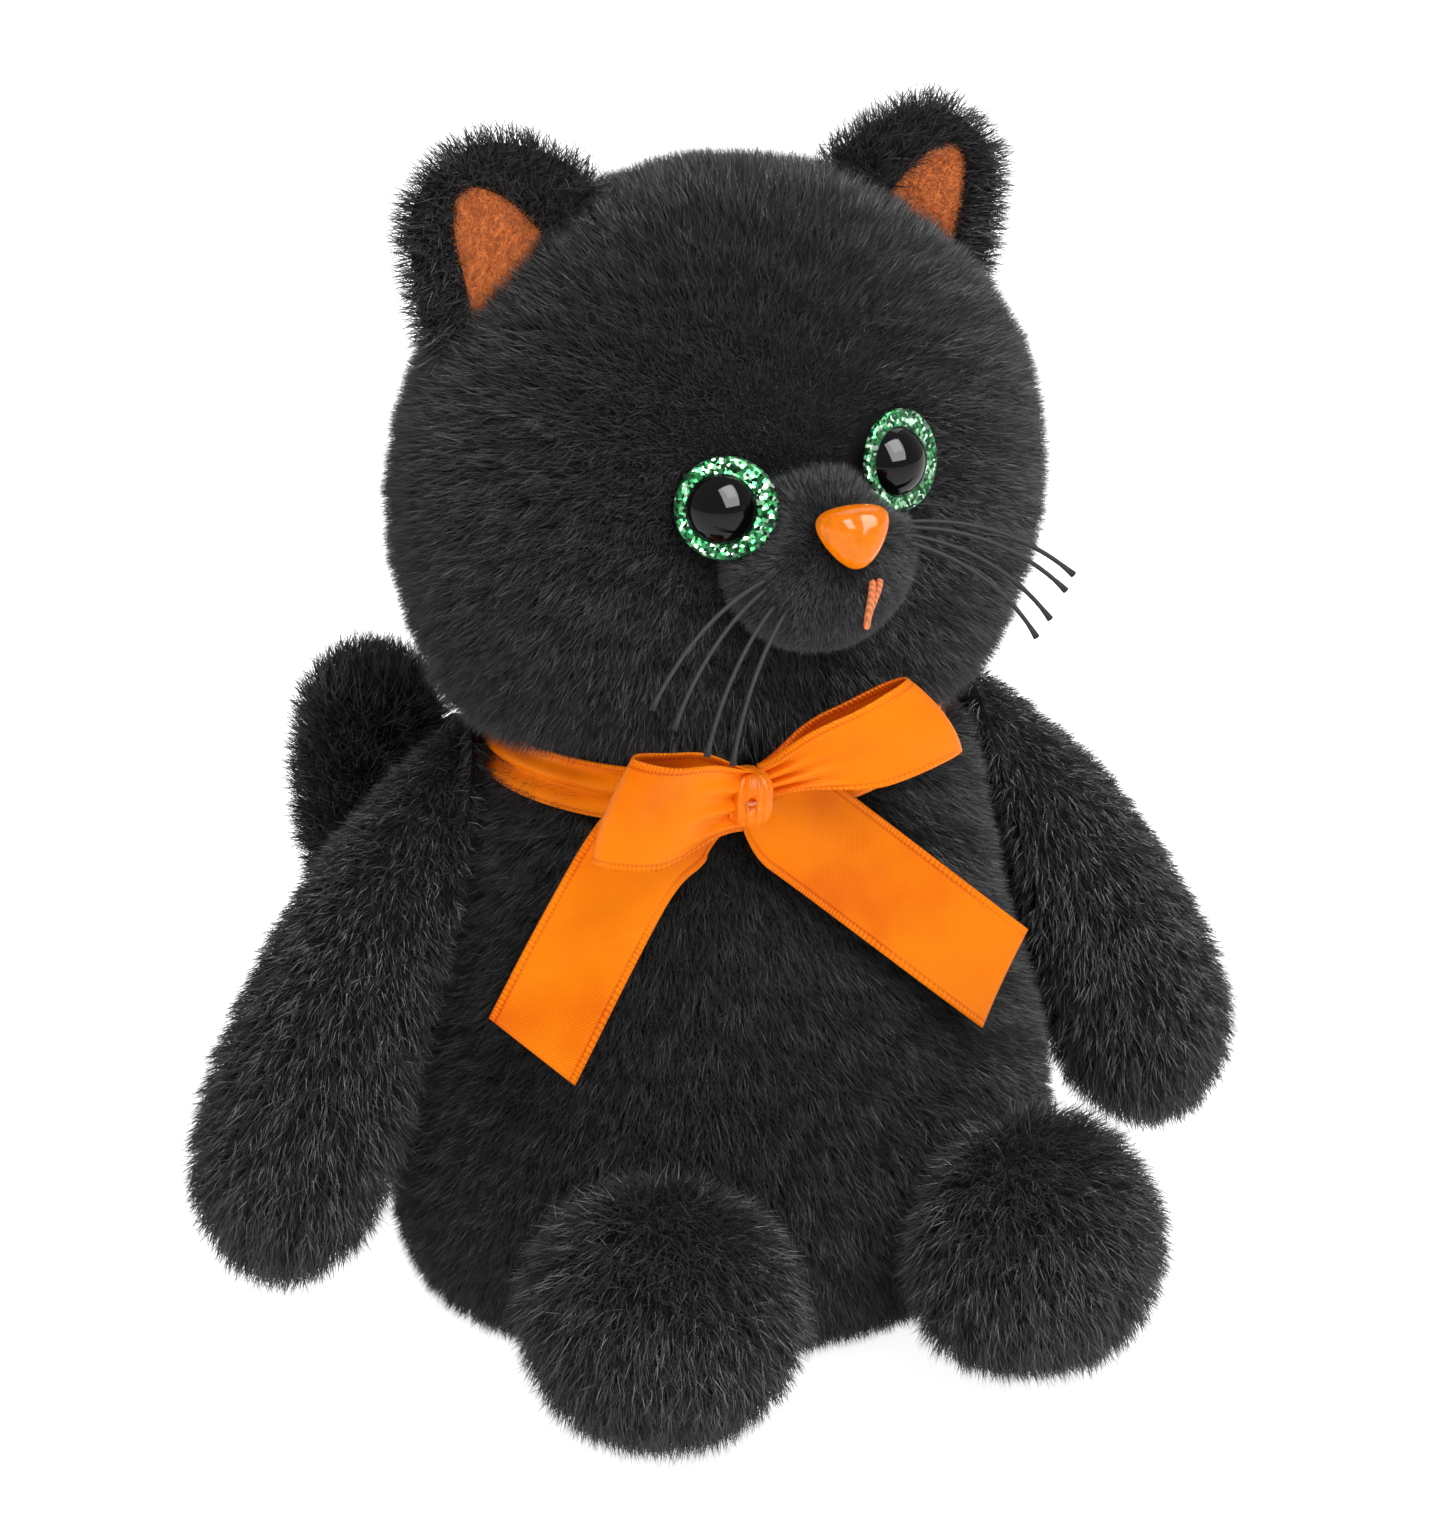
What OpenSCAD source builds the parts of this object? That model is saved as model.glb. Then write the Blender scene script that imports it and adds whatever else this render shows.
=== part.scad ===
// Sitting plush cat: fur-fabric body, head, arms, legs, ears and tail round their stuffing,
// lock-washer eyes and nose, thread whiskers, and a satin ribbon tied in a bow.
// Millimetres, +Z up, the face looks along -Y, origin at the middle of the seat on the floor.
// Fabric outlines are taken with their pile standing.

/* [Body] */
// Widest width of the body
body_w = 112; // [100:1:128]
// Depth of the body in front of its middle
body_front = 46; // [40:1:54]
// Depth of the body behind its middle
body_back = 44; // [38:1:52]
// Height of the body's top above the floor
body_h = 103; // [92:1:118]
// Thickness of the plush fabric with its pile
plush_t = 4.5; // [3.6:0.1:5.4]
// Thickness of the fabric under the seat
seat_t = 2.5; // [2:0.1:3.2]
// Height of the pellet bag in the seat
bag_h = 20; // [16:1:24]
// Thickness of the pellet bag's cloth
bag_t = 0.8; // [0.6:0.1:1.2]

/* [Head] */
// Widest width of the head
head_w = 112; // [98:1:124]
// Depth of the head in front of its middle
head_front = 38; // [34:1:44]
// Depth of the head behind its middle
head_back = 44; // [38:1:50]
// Height of the head above the neck's pivot
head_h = 90.5; // [80:0.5:104]
// How far the head is sewn on turned to its left, in degrees
head_turn = 3; // [0:1:10]
// Radius of the stuffing that runs through the neck
neck_plug_r = 9; // [7:0.5:12]

/* [Muzzle] */
// Width of the muzzle
muzzle_w = 29; // [25:1:34]
// Height of the muzzle
muzzle_h = 29; // [25:1:34]
// How far the muzzle stands out from the face
muzzle_out = 12; // [10:0.5:14]
// Thickness of the short-pile muzzle fabric
muzzle_t = 2; // [1.6:0.1:2.4]

/* [Eyes and nose] */
// Diameter of the glitter iris disc
iris_d = 16; // [13:0.5:18]
// Thickness of the iris disc
iris_t = 1.2; // [0.8:0.1:1.6]
// Diameter of the pupil dome
pupil_d = 10.6; // [9:0.1:12]
// Height of the pupil dome
pupil_h = 3.4; // [2.8:0.1:4.2]
// Distance between the eye centres
eye_gap = 29.5; // [27:0.5:36]
// How much higher the left eye sits than the right one
eye_skew = 2.8; // [0:0.2:4]
// How far each eye looks outwards, in degrees
eye_splay = 22; // [16:1:26]
// Diameter of the stems of the eyes and the nose
stem_d = 4; // [3:0.1:5]
// Diameter of the lock washers
washer_d = 11; // [9:0.5:13]
// Thickness of the lock washers
washer_t = 1.4; // [1:0.1:1.8]
// Width of the nose
nose_w = 11.6; // [10:0.1:13.6]
// Height of the nose
nose_h = 9.8; // [8.4:0.1:11.6]
// Depth of the nose
nose_t = 4.6; // [3.8:0.1:5.6]

/* [Whiskers and mouth] */
// Diameter of the whisker thread
whisker_d = 0.9; // [0.6:0.1:1.2]
// Length of a whisker
whisker_l = 30; // [24:1:36]
// Length of the stitched mouth
mouth_l = 8; // [6:0.5:10]
// Distance of the mouth to the left of the muzzle's middle
mouth_side = 2; // [0:0.2:4]
// Thickness of the mouth's thread
mouth_d = 1.3; // [1:0.1:1.8]

/* [Ears] */
// Width of an ear at its base
ear_w = 41; // [36:1:46]
// Height of an ear above its base
ear_h = 18.5; // [16:0.5:22]
// Thickness of an ear with its pile
ear_t = 9; // [7.5:0.5:11]
// Thickness of the ear's lining
lining_t = 1.6; // [1.2:0.1:2]
// Slope of the ear's base down to the side, in degrees
ear_slope = 36; // [30:1:42]

/* [Arms] */
// Diameter of the paw
paw_d = 35; // [30:1:42]
// Diameter of the arm at the shoulder
shoulder_d = 28; // [24:1:33]
// Length of the arm from the shoulder to the middle of the paw
arm_l = 57; // [48:1:64]
// Height of the shoulder above the floor
shoulder_z = 83; // [76:1:88]
// Lean of the arm's inner side away from upright, in degrees
arm_lean = 14.5; // [12:0.5:18]
// How far the arm is held forwards at rest, in degrees
arm_forward = 7; // [0:1:14]

/* [Legs] */
// Diameter of the foot
foot_d = 48; // [42:1:56]
// Distance between the middles of the two hips
hip_gap = 50; // [44:1:60]
// Distance from the hip to the middle of the foot
hip_to_foot = 17; // [14:0.5:19]
// Largest lift that the hip leaves room for, in degrees
hip_room = 21; // [18:1:24]

/* [Tail] */
// Diameter of the tail
tail_d = 29; // [25:1:34]
// Radius of the tail's long bend
tail_bend = 56; // [48:1:66]
// Length of the tail's long bend, in degrees
tail_turn = 62; // [52:1:70]
// Lean of the tail's lower part to the right, in degrees
tail_lean = 50; // [42:1:58]
// Height of the tail's root above the floor
tail_z = 24; // [20:1:30]
// Distance of the tail's root to the right of the middle
tail_side = 14; // [9:1:18]

/* [Ribbon] */
// Width of the satin ribbon
ribbon_w = 16; // [13:0.5:19]
// Thickness of the ribbon
ribbon_t = 0.5; // [0.4:0.05:0.7]
// Width to which the ribbon is gathered round the neck
band_w = 7.5; // [6:0.5:9]
// Width of the bow's knot
knot_w = 8; // [7:0.5:10]
// Height of the bow's knot
knot_h = 9; // [8:0.5:11]
// Distance of the knot to the right of the middle
knot_side = 11; // [8:1:14]
// Reach of the right bow loop from the knot
loop_right_l = 25; // [21:1:30]
// Reach of the left bow loop from the knot
loop_left_l = 35; // [30:1:42]
// Opening of a bow loop from front to back
loop_open = 9; // [7:0.5:11]
// Length of the right ribbon end from the knot
end_right_l = 50; // [44:1:58]
// Length of the left ribbon end from the knot
end_left_l = 58; // [50:1:64]
// Slant of the cut at each ribbon end
end_slant = 4.5; // [2:0.5:8]

/* [Hidden] */

gap = 0.5;          // between pieces that move against each other
fit = 0.25;         // between pieces that stay together
fine_n = 32;        // points round a large outline
coarse_n = 20;      // points round a hidden or small outline
big = 400;          // a block that takes in the whole cat
black = [0.05, 0.05, 0.055];
orange = [1.0, 0.46, 0.05];
thread_orange = [0.95, 0.36, 0.1];
white = [0.93, 0.93, 0.9];

body_half = body_w / 2;
head_half = head_w / 2;
pivot_z = body_h + 1.5;                 // middle of the neck's ball of stuffing
socket_r = neck_plug_r + gap;

// Width share of the body at a height share, up to the hole for the neck.
body_stations = [[0, 0.84], [0.04, 0.91], [0.13, 0.97], [0.27, 1], [0.42, 0.965], [0.62, 0.88],
    [0.78, 0.82], [0.9, 0.76], [0.96, 0.7]];
// Width share of the head at a height share above the neck's pivot.
head_stations = [[0.055, 0.64], [0.08, 0.77], [0.12, 0.86], [0.18, 0.925], [0.28, 0.98],
    [0.38, 1], [0.5, 0.985], [0.64, 0.92], [0.78, 0.78], [0.9, 0.55], [0.97, 0.31]];

// Curve through the stations, with a number of steps to each stretch.
function along(s, i, t) = let (
        a = s[max(i - 1, 0)], b = s[i], c = s[i + 1], d = s[min(i + 2, len(s) - 1)])
    b + t * ((c - a) / 2 + t * ((2 * a - 5 * b + 4 * c - d) / 2 + t * (3 * b - a - 3 * c + d) / 2));
function smooth(s, steps) = concat(
    [for (i = [0:len(s) - 2]) for (k = [0:steps - 1]) along(s, i, k / steps)], [s[len(s) - 1]]);

body_profile = concat(smooth(body_stations, 2), [[1, (socket_r + 2) / body_half]]);
head_profile = concat([[0.016, (socket_r + 2) / head_half]], smooth(head_stations, 2), [[1, 0.06]]);

// One level outline, with its own depth in front of and behind the middle.
function outline(z, rx, front, back, n) = [for (i = [0:n - 1])
    let (a = 360 * i / n) [rx * cos(a), (sin(a) < 0 ? front : back) * sin(a), z]];

// A closed solid through a stack of outlines with the same number of points.
module loft(rings) {
    n = len(rings[0]);
    last = len(rings) - 1;
    side = [for (r = [0:last - 1]) for (i = [0:n - 1])
        let (a = r * n + i, b = r * n + (i + 1) % n)
        each [[a, b + n, b], [a, a + n, b + n]]];
    polyhedron(
        points = [for (r = rings) each r],
        faces = concat(side, [[for (i = [0:n - 1]) i]], [[for (i = [n - 1:-1:0]) last * n + i]]));
}

// Level outline of the body at a height, drawn in by an inset.
function body_ring(z, inset, n) = let (s = lookup(z / (body_h - inset), body_profile))
    outline(z, s * body_half - inset, s * body_front - inset, s * body_back - inset, n);
// Body from one height to another, with a ring at each height of the profile between them.
module body_loft(inset, low, high, n) {
    top = body_h - inset;
    between = [for (p = body_profile) if (p[0] * top > low + 0.8 && p[0] * top < high - 0.8) p[0] * top];
    loft([for (z = concat([low], between, [high])) body_ring(z, inset, n)]);
}

// Head, drawn in by an inset, in the head's own straight frame.
module head_loft(inset, n) {
    squeeze = (head_h - 2 * inset) / head_h;
    least = 1.2;
    loft([for (p = head_profile) outline(
        pivot_z + inset + p[0] * head_h * squeeze,
        max(p[1] * head_half - inset, least), max(p[1] * head_front - inset, least),
        max(p[1] * head_back - inset, least), n)]);
}
function head_share(z) = lookup((z - pivot_z) / head_h, head_profile);
function head_face_y(x, z) = let (s = head_share(z))
    -s * head_front * sqrt(1 - pow(x / (s * head_half), 2));

module front_half(seam_y = 0) {
    intersection() {
        children();
        translate([-big / 2, seam_y - fit / 2 - big, -big / 2]) cube(big);
    }
}
module back_half(seam_y = 0) {
    intersection() {
        children();
        translate([-big / 2, seam_y + fit / 2, -big / 2]) cube(big);
    }
}
module on_head() { rotate([0, 0, head_turn]) children(); }
module other_side() { mirror([1, 0, 0]) children(); }
module neck_socket() { translate([0, 0, pivot_z]) sphere(r = socket_r, $fn = 48); }

// ---- body ----
module body_skin() {
    difference() {
        body_loft(0, 0, body_h, fine_n);
        body_loft(plush_t, -1, body_h - plush_t, fine_n);
        translate([0, 0, body_h - 2 * plush_t]) cylinder(r = socket_r, h = 3 * plush_t, $fn = 48);
    }
}
module body_front_panel() { color(black) front_half() body_skin(); }
module body_back_panel() { color(black) back_half() body_skin(); }

module seat_panel() {
    color(black) linear_extrude(seat_t)
        polygon([for (p = body_ring(0, plush_t + fit, fine_n)) [p[0], p[1]]]);
}
bag_z = seat_t + fit;
module bag_fill(inset) {
    body_loft(plush_t + fit + inset, bag_z + inset, bag_z + bag_h - inset, coarse_n);
}
module pellet_bag() {
    color(white) difference() {
        bag_fill(0);
        bag_fill(bag_t);
    }
}
module pellets() { color(white) bag_fill(bag_t + fit); }
module body_stuffing() {
    inset = plush_t + fit;
    color(white) difference() {
        body_loft(inset, bag_z + bag_h + fit, body_h - inset, coarse_n);
        neck_socket();
    }
}

// ---- ribbon ----
band_low = body_h - 6;                  // the band lies in the crease of the neck
band_rx = lookup(band_low / body_h, body_profile) * body_half + gap;
band_ry = lookup(band_low / body_h, body_profile) * body_front + gap;
module neck_band() {
    shape = function (grow) [for (p = outline(0, band_rx + grow, band_ry + grow, band_ry + grow, fine_n))
        [p[0], p[1]]];
    color(orange) translate([0, 0, band_low]) linear_extrude(band_w) difference() {
        polygon(shape(ribbon_t));
        polygon(shape(0));
    }
}

knot_t = 6.5;
knot_y = -(band_ry * sqrt(1 - pow(knot_side / band_rx, 2)) + ribbon_t + fit);   // back of the knot
knot_z = band_low + band_w / 2 + 2.5;
stitch_d = 1.1;
module knot_block(grow) {
    translate([-knot_side, knot_y - knot_t / 2, knot_z]) scale([knot_w / 2 + grow, knot_t / 2 + grow,
        knot_h / 2 + grow]) sphere(r = 1, $fn = 32);
}
module bow_knot() {
    color(orange) difference() {
        knot_block(0);
        bow_stitch(fit);
    }
}
module bow_stitch(grow = 0) {
    color(thread_orange) translate([-knot_side, knot_y - knot_t + 0.6, knot_z]) rotate([90, 0, 0])
        cylinder(d = stitch_d + 2 * grow, h = 1.2, $fn = 24);
}

// Ribbon loop as a drop-shaped ring, its point at the origin and its fold at reach.
module drop(reach, open, inset) {
    steps = 22;
    polygon([for (i = [0:steps - 1]) let (a = 360 * i / steps)
        [inset * 1.6 + (reach - inset * 2.6) * (1 - cos(a)) / 2,
            (open / 2 - inset) * sin(a) * pow((1 - cos(a)) / 2, 0.6)]]);
}
module loop_ring(reach) {
    linear_extrude(ribbon_w, center = true) difference() {
        drop(reach, loop_open, 0);
        drop(reach, loop_open, ribbon_t);
    }
}
loop_drop = 3;      // each loop starts this far inside the knot's ends
loop_ahead = 2.5;   // the loops stand this far ahead of the knot's middle
loop_left_rise = 5;
loop_right_rise = 3;
module bow_loop_left() {
    color(orange) difference() {
        translate([-knot_side + knot_w / 2 - loop_drop, knot_y - knot_t / 2 - loop_ahead, knot_z + loop_left_rise])
            rotate([12, -7, -4]) loop_ring(loop_left_l + loop_drop);
        knot_block(fit);
    }
}
module bow_loop_right() {
    color(orange) difference() {
        translate([-knot_side - knot_w / 2 + loop_drop, knot_y - knot_t / 2 - loop_ahead, knot_z + loop_right_rise])
            rotate([-8, -4, 184]) loop_ring(loop_right_l + loop_drop);
        knot_block(fit);
    }
}

// Distance of the plane that leans against the body, from the origin, square to the plane.
function lean_reach(depth, lean) =
    max([for (p = body_profile) p[1] * depth * cos(lean) + p[0] * body_h * sin(lean)]);

chest_lean = 14;
chest_reach = lean_reach(body_front, chest_lean) + gap;
end_z = knot_z + loop_right_rise - ribbon_w / 2 - 3;      // hinge of the ribbon ends, under the loops
end_y = -(chest_reach - end_z * sin(chest_lean)) / cos(chest_lean) - ribbon_t;
end_right_angle = 45;      // from straight down to the right
end_left_angle = 51;       // from straight down to the left
end_start = 2.2;           // each end leaves the knot this far to its side
// Ribbon end lying against the chest, swung to a side by an angle.
module ribbon_end(length, angle, side) {
    start_w = 3;
    flare = 15;
    color(orange) translate([-knot_side + side * end_start, end_y, end_z])
        rotate([90 - chest_lean, 0, 0]) rotate([0, 0, side * angle - 90])
        linear_extrude(ribbon_t, center = true)
        polygon([for (p = [[0, -start_w], [flare, -ribbon_w], [length, -ribbon_w],
            [length - end_slant, ribbon_w], [flare, ribbon_w], [0, start_w]]) [p[0], side * p[1] / 2]]);
}
module bow_end_left() { ribbon_end(end_left_l, end_left_angle, 1); }
module bow_end_right() { ribbon_end(end_right_l, end_right_angle, -1); }

// ---- head ----
module neck_plug() { color(white) translate([0, 0, pivot_z]) sphere(r = neck_plug_r, $fn = 48); }

eye_z = pivot_z + 0.52 * head_h;
eye_pitch = 10;
stem_l = plush_t + fit + washer_t + 1;
washer_room = 20;       // depth of the clear space behind the fabric for a washer
// Frame of one eye: +Z looks out of the face, origin on the face's surface.
module at_eye(side) {
    z = eye_z + side * eye_skew / 2;
    translate([side * eye_gap / 2, head_face_y(eye_gap / 2, z), z])
        rotate([90 - eye_pitch, 0, side * eye_splay]) children();
}
module each_eye() {
    for (side = [-1, 1]) at_eye(side) children();
}
// Room for an eye's disc, stem and washer.
module eye_room() {
    translate([0, 0, -fit]) cylinder(d = iris_d + 2 * gap, h = 10, $fn = 48);
    translate([0, 0, -stem_l - fit]) cylinder(d = stem_d + 2 * fit, h = stem_l + 1, $fn = 32);
    translate([0, 0, -washer_room - plush_t + fit])
        cylinder(d = washer_d + 2 * gap, h = washer_room, $fn = 40);
}
module iris(side) {
    color([0.1, 0.5, 0.15]) on_head() at_eye(side) difference() {
        cylinder(d = iris_d, h = iris_t, $fn = 64);
        translate([0, 0, -1]) cylinder(d = stem_d + 2 * fit, h = iris_t + 2, $fn = 32);
    }
}
module pupil(side) {
    cap_r = (pow(pupil_d / 2, 2) + pow(pupil_h, 2)) / (2 * pupil_h);
    color([0.01, 0.01, 0.01]) on_head() at_eye(side) union() {
        translate([0, 0, iris_t]) intersection() {
            translate([0, 0, pupil_h - cap_r]) sphere(r = cap_r, $fn = 64);
            cylinder(d = pupil_d + 1, h = pupil_h + 1, $fn = 64);
        }
        translate([0, 0, -stem_l]) cylinder(d = stem_d, h = stem_l + iris_t + 0.5, $fn = 32);
    }
}
module washer_ring() {
    difference() {
        cylinder(d = washer_d, h = washer_t, $fn = 48);
        translate([0, 0, -1]) cylinder(d = stem_d + 0.1, h = washer_t + 2, $fn = 32);
    }
}
module eye_washer(side) {
    color(white) on_head() at_eye(side) translate([0, 0, -plush_t - washer_t]) washer_ring();
}

module head_skin() {
    difference() {
        head_loft(0, fine_n);
        head_loft(plush_t, fine_n);
        neck_socket();
        each_eye() eye_room();
    }
}
module head_face_panel() { color(black) on_head() front_half() head_skin(); }
module head_back_panel() { color(black) on_head() back_half() head_skin(); }
module head_stuffing() {
    color(white) on_head() difference() {
        head_loft(plush_t + fit, coarse_n);
        neck_socket();
        each_eye() eye_room();
    }
}

muzzle_z = pivot_z + 0.403 * head_h;
muzzle_y = -head_front - fit;
nose_up = 0.48 * muzzle_h / 2;             // nose above the muzzle's middle
// Front of the muzzle at a height above its middle and a distance to its side.
function muzzle_face_y(up, aside = 0) = muzzle_y
    - muzzle_out * sqrt(1 - pow(up / (muzzle_h / 2), 2) - pow(aside / (muzzle_w / 2), 2));
nose_tilt = 22;
module at_nose() {
    translate([0, muzzle_face_y(nose_up), muzzle_z + nose_up]) rotate([90 - nose_tilt, 0, 0]) children();
}
washer_sag = 1.1;                          // the washer sits clear of the dome's inner curve
nose_stem = muzzle_t + washer_sag + washer_t + 1;
module muzzle_dome(inset) {
    translate([0, muzzle_y, muzzle_z]) intersection() {
        scale([muzzle_w / 2 - inset, muzzle_out - inset, muzzle_h / 2 - inset]) sphere(r = 1, $fn = 48);
        translate([-big / 2, -big, -big / 2]) cube(big);
    }
}
module nose_room() {
    at_nose() {
        translate([0, 0, -fit]) linear_extrude(nose_t + 2) nose_outline(fit);
        translate([0, 0, -nose_stem - fit]) cylinder(d = stem_d + 2 * fit, h = nose_stem + 1, $fn = 32);
    }
}
module muzzle_skin() {
    color(black) on_head() difference() {
        muzzle_dome(0);
        translate([0, fit, 0]) muzzle_dome(muzzle_t);
        nose_room();
        each_eye() eye_room();
    }
}
module muzzle_stuffing() {
    color(white) on_head() difference() {
        muzzle_dome(muzzle_t + fit);
        each_eye() eye_room();
        at_nose() translate([0, 0, -nose_stem - 1]) cylinder(d = washer_d * 0.7 + 2 * gap, h = nose_stem + 1, $fn = 40);
    }
}
// Rounded triangle, wide at the top.
module nose_outline(grow) {
    corner = 0.22 * nose_w;
    hull() {
        for (side = [-1, 1]) translate([side * (nose_w / 2 - corner), nose_h / 2 - corner])
            circle(r = corner + grow, $fn = 32);
        translate([0, -nose_h / 2 + corner]) circle(r = corner + grow, $fn = 32);
    }
}
module nose() {
    rim = 0.5;
    color(orange) on_head() at_nose() union() {
        for (k = [0:3]) translate([0, 0, k * nose_t / 5])
            linear_extrude(nose_t / 5 + 0.01) nose_outline(-rim * k * k / 3);
        translate([0, 0, -nose_stem]) cylinder(d = stem_d, h = nose_stem + 0.5, $fn = 32);
    }
}
module nose_washer() {
    color(white) on_head() at_nose() translate([0, 0, -muzzle_t - washer_sag - washer_t]) difference() {
        cylinder(d = washer_d * 0.7, h = washer_t, $fn = 40);
        translate([0, 0, -1]) cylinder(d = stem_d + 0.1, h = washer_t + 2, $fn = 32);
    }
}

// A round thread through points, with a ring square to the way it runs at each point.
module thread(path, d, sides = 8) {
    last = len(path) - 1;
    loft([for (i = [0:last]) let (
            way = path[min(i + 1, last)] - path[max(i - 1, 0)],
            f = way / norm(way),
            r = cross(f, [0, 1, 0.02]), u = r / norm(r), v = cross(u, f))
        [for (k = [0:sides - 1]) let (a = -360 * k / sides)
            path[i] + d / 2 * (cos(a) * u + sin(a) * v)]]);
}
mouth_steps = 8;
module mouth_stitch() {
    top = -0.1 * muzzle_h;
    color(thread_orange) on_head() thread([for (i = [0:mouth_steps])
        let (up = top - mouth_l * i / mouth_steps)
        [mouth_side, muzzle_face_y(up, mouth_side) - mouth_d / 2 - fit, muzzle_z + up]], mouth_d);
}

// Start of each whisker: forwards share, height; then its outward angle and its fall at the start.
whisker_rows = [[0.34, 1.5, 24, 6], [0.46, -1, 28, 16], [0.58, -3.5, 34, 26], [0.7, -5.5, 38, 34]];
whisker_steps = 8;
whisker_curl = 36;      // how far a whisker bends down along its length, in degrees
function whisker_path(row) = let (
        y0 = muzzle_y - row[0] * muzzle_out,
        x0 = muzzle_w / 2 * sqrt(1 - pow(row[0], 2) - pow(row[1] / (muzzle_h / 2), 2)) + whisker_d + fit,
        step = whisker_l / whisker_steps)
    [for (i = [0:whisker_steps]) let (
            fall = [for (k = [0:1:i - 1]) row[3] + whisker_curl * (k + 0.5) / whisker_steps],
            level = step * sum([for (a = fall) cos(a)]))
        [x0 + level * cos(row[2]), y0 - level * sin(row[2]),
            muzzle_z + row[1] - step * sum([for (a = fall) sin(a)])]];
function sum(v) = len(v) == 0 ? 0 : v * [for (x = v) 1];
module whiskers() {
    color(black) for (row = whisker_rows) thread(whisker_path(row), whisker_d, 6);
}
module whiskers_left() { on_head() whiskers(); }
module whiskers_right() { on_head() other_side() whiskers(); }

// ---- ears ----
ear_y = 3;
ear_x = 0.61 * head_half;
ear_flop = 15;      // largest flop that the ear's base leaves room for
// The line that touches the head's outline with the slope of the ear's base, raised for the flop.
ear_reach = max([for (p = head_profile)
        p[1] * head_half * sin(ear_slope) + (pivot_z + p[0] * head_h) * cos(ear_slope)]);
ear_lift = gap + ear_t / 2 * sin(ear_flop);
ear_z = (ear_reach + ear_lift - ear_x * sin(ear_slope)) / cos(ear_slope);
// Stations of the ear: height share, width share, shift to the outside as a share of the width.
ear_stations = [[0, 0.88, 0], [0.2, 0.98, -0.01], [0.45, 0.93, -0.03], [0.7, 0.76, -0.06],
    [0.87, 0.54, -0.08], [0.96, 0.32, -0.1], [1, 0.12, -0.11]];
module ear_pad(width, height, deep, n, low = 0) {
    loft([for (s = smooth(ear_stations, 2)) if (s[0] >= low) [for (p = outline(s[0] * height,
            s[1] * width / 2, deep / 2 * pow(s[1], 0.5), deep / 2 * pow(s[1], 0.5), n))
        p + [s[2] * width, 0, 0]]]);
}
module at_ear() {
    translate([ear_x, ear_y, ear_z]) rotate([0, ear_slope, 0]) children();
}
module lining_pad(grow) {
    translate([0, -ear_t / 2 + lining_t, ear_h * 0.1])
        ear_pad(ear_w * 0.56 + 2 * grow, ear_h * 0.72 + grow, 3.4 * lining_t + 2 * grow, coarse_n);
}
module ear_fur() {
    color(black) at_ear() difference() {
        ear_pad(ear_w, ear_h, ear_t, coarse_n);
        lining_pad(fit);
    }
}
module ear_lining() {
    color(thread_orange) at_ear() intersection() {
        lining_pad(0);
        translate([-big / 2, -ear_t / 2 - 1.2, -big / 2]) cube(big);
    }
}
module ear_left_fur() { on_head() ear_fur(); }
module ear_left_lining() { on_head() ear_lining(); }
module ear_right_fur() { on_head() other_side() ear_fur(); }
module ear_right_lining() { on_head() other_side() ear_lining(); }

// ---- arms ----
arm_reach = lean_reach(body_half, arm_lean) + gap;
arm_root_x = (arm_reach - shoulder_z * sin(arm_lean)) / cos(arm_lean);
arm_y = 3;
shoulder_in = 7;        // middle of the shoulder out from the arm's flat inner side
// Frame of the left arm: -Z runs down the arm, +X out of its flat inner side.
module at_shoulder() {
    translate([arm_root_x, arm_y, shoulder_z]) rotate([0, -arm_lean, 0]) rotate([-arm_forward, 0, 0])
        children();
}
// Arm as a turned form: two round ends joined by a straight cone.
module arm_form(inset) {
    spread = atan((paw_d / 2 - shoulder_in) / arm_l);
    span = norm([arm_l, paw_d / 2 - shoulder_in]);
    top = shoulder_d / 2 - inset;
    end = paw_d / 2 - inset;
    arc = 12;
    intersection() {
        translate([shoulder_in, 0, 0]) rotate([0, -spread, 0]) rotate_extrude($fn = 48) polygon(concat(
            [for (i = [0:arc]) let (a = 90 * i / arc) [top * sin(a), top * cos(a)]],
            [for (i = [0:arc]) let (a = 90 * i / arc) [end * cos(a), -span - end * sin(a)]]));
        translate([0, -big / 2, -big / 2]) cube(big);
    }
}
module arm_skin() {
    color(black) at_shoulder() difference() {
        arm_form(0);
        translate([-fit, 0, 0]) arm_form(plush_t);
    }
}
module arm_stuffing() { color(white) at_shoulder() arm_form(plush_t + 2 * fit); }
module arm_left_skin() { arm_skin(); }
module arm_left_stuffing() { arm_stuffing(); }
module arm_right_skin() { other_side() arm_skin(); }
module arm_right_stuffing() { other_side() arm_stuffing(); }

// ---- legs ----
hip_z = foot_d / 2;
hip_share = lookup(hip_z / body_h, body_profile);
hip_x = hip_gap / 2;
hip_front = hip_share * body_front * sqrt(1 - pow(hip_x / (hip_share * body_half), 2));
// Way that the body's front faces at the hip, measured from straight ahead.
hip_splay = atan2(hip_x / pow(hip_share * body_half, 2), hip_front / pow(hip_share * body_front, 2));
module at_hip() {
    translate([hip_x, -hip_front, hip_z]) rotate([90, 0, hip_splay]) translate([0, 0, gap]) children();
}
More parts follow.
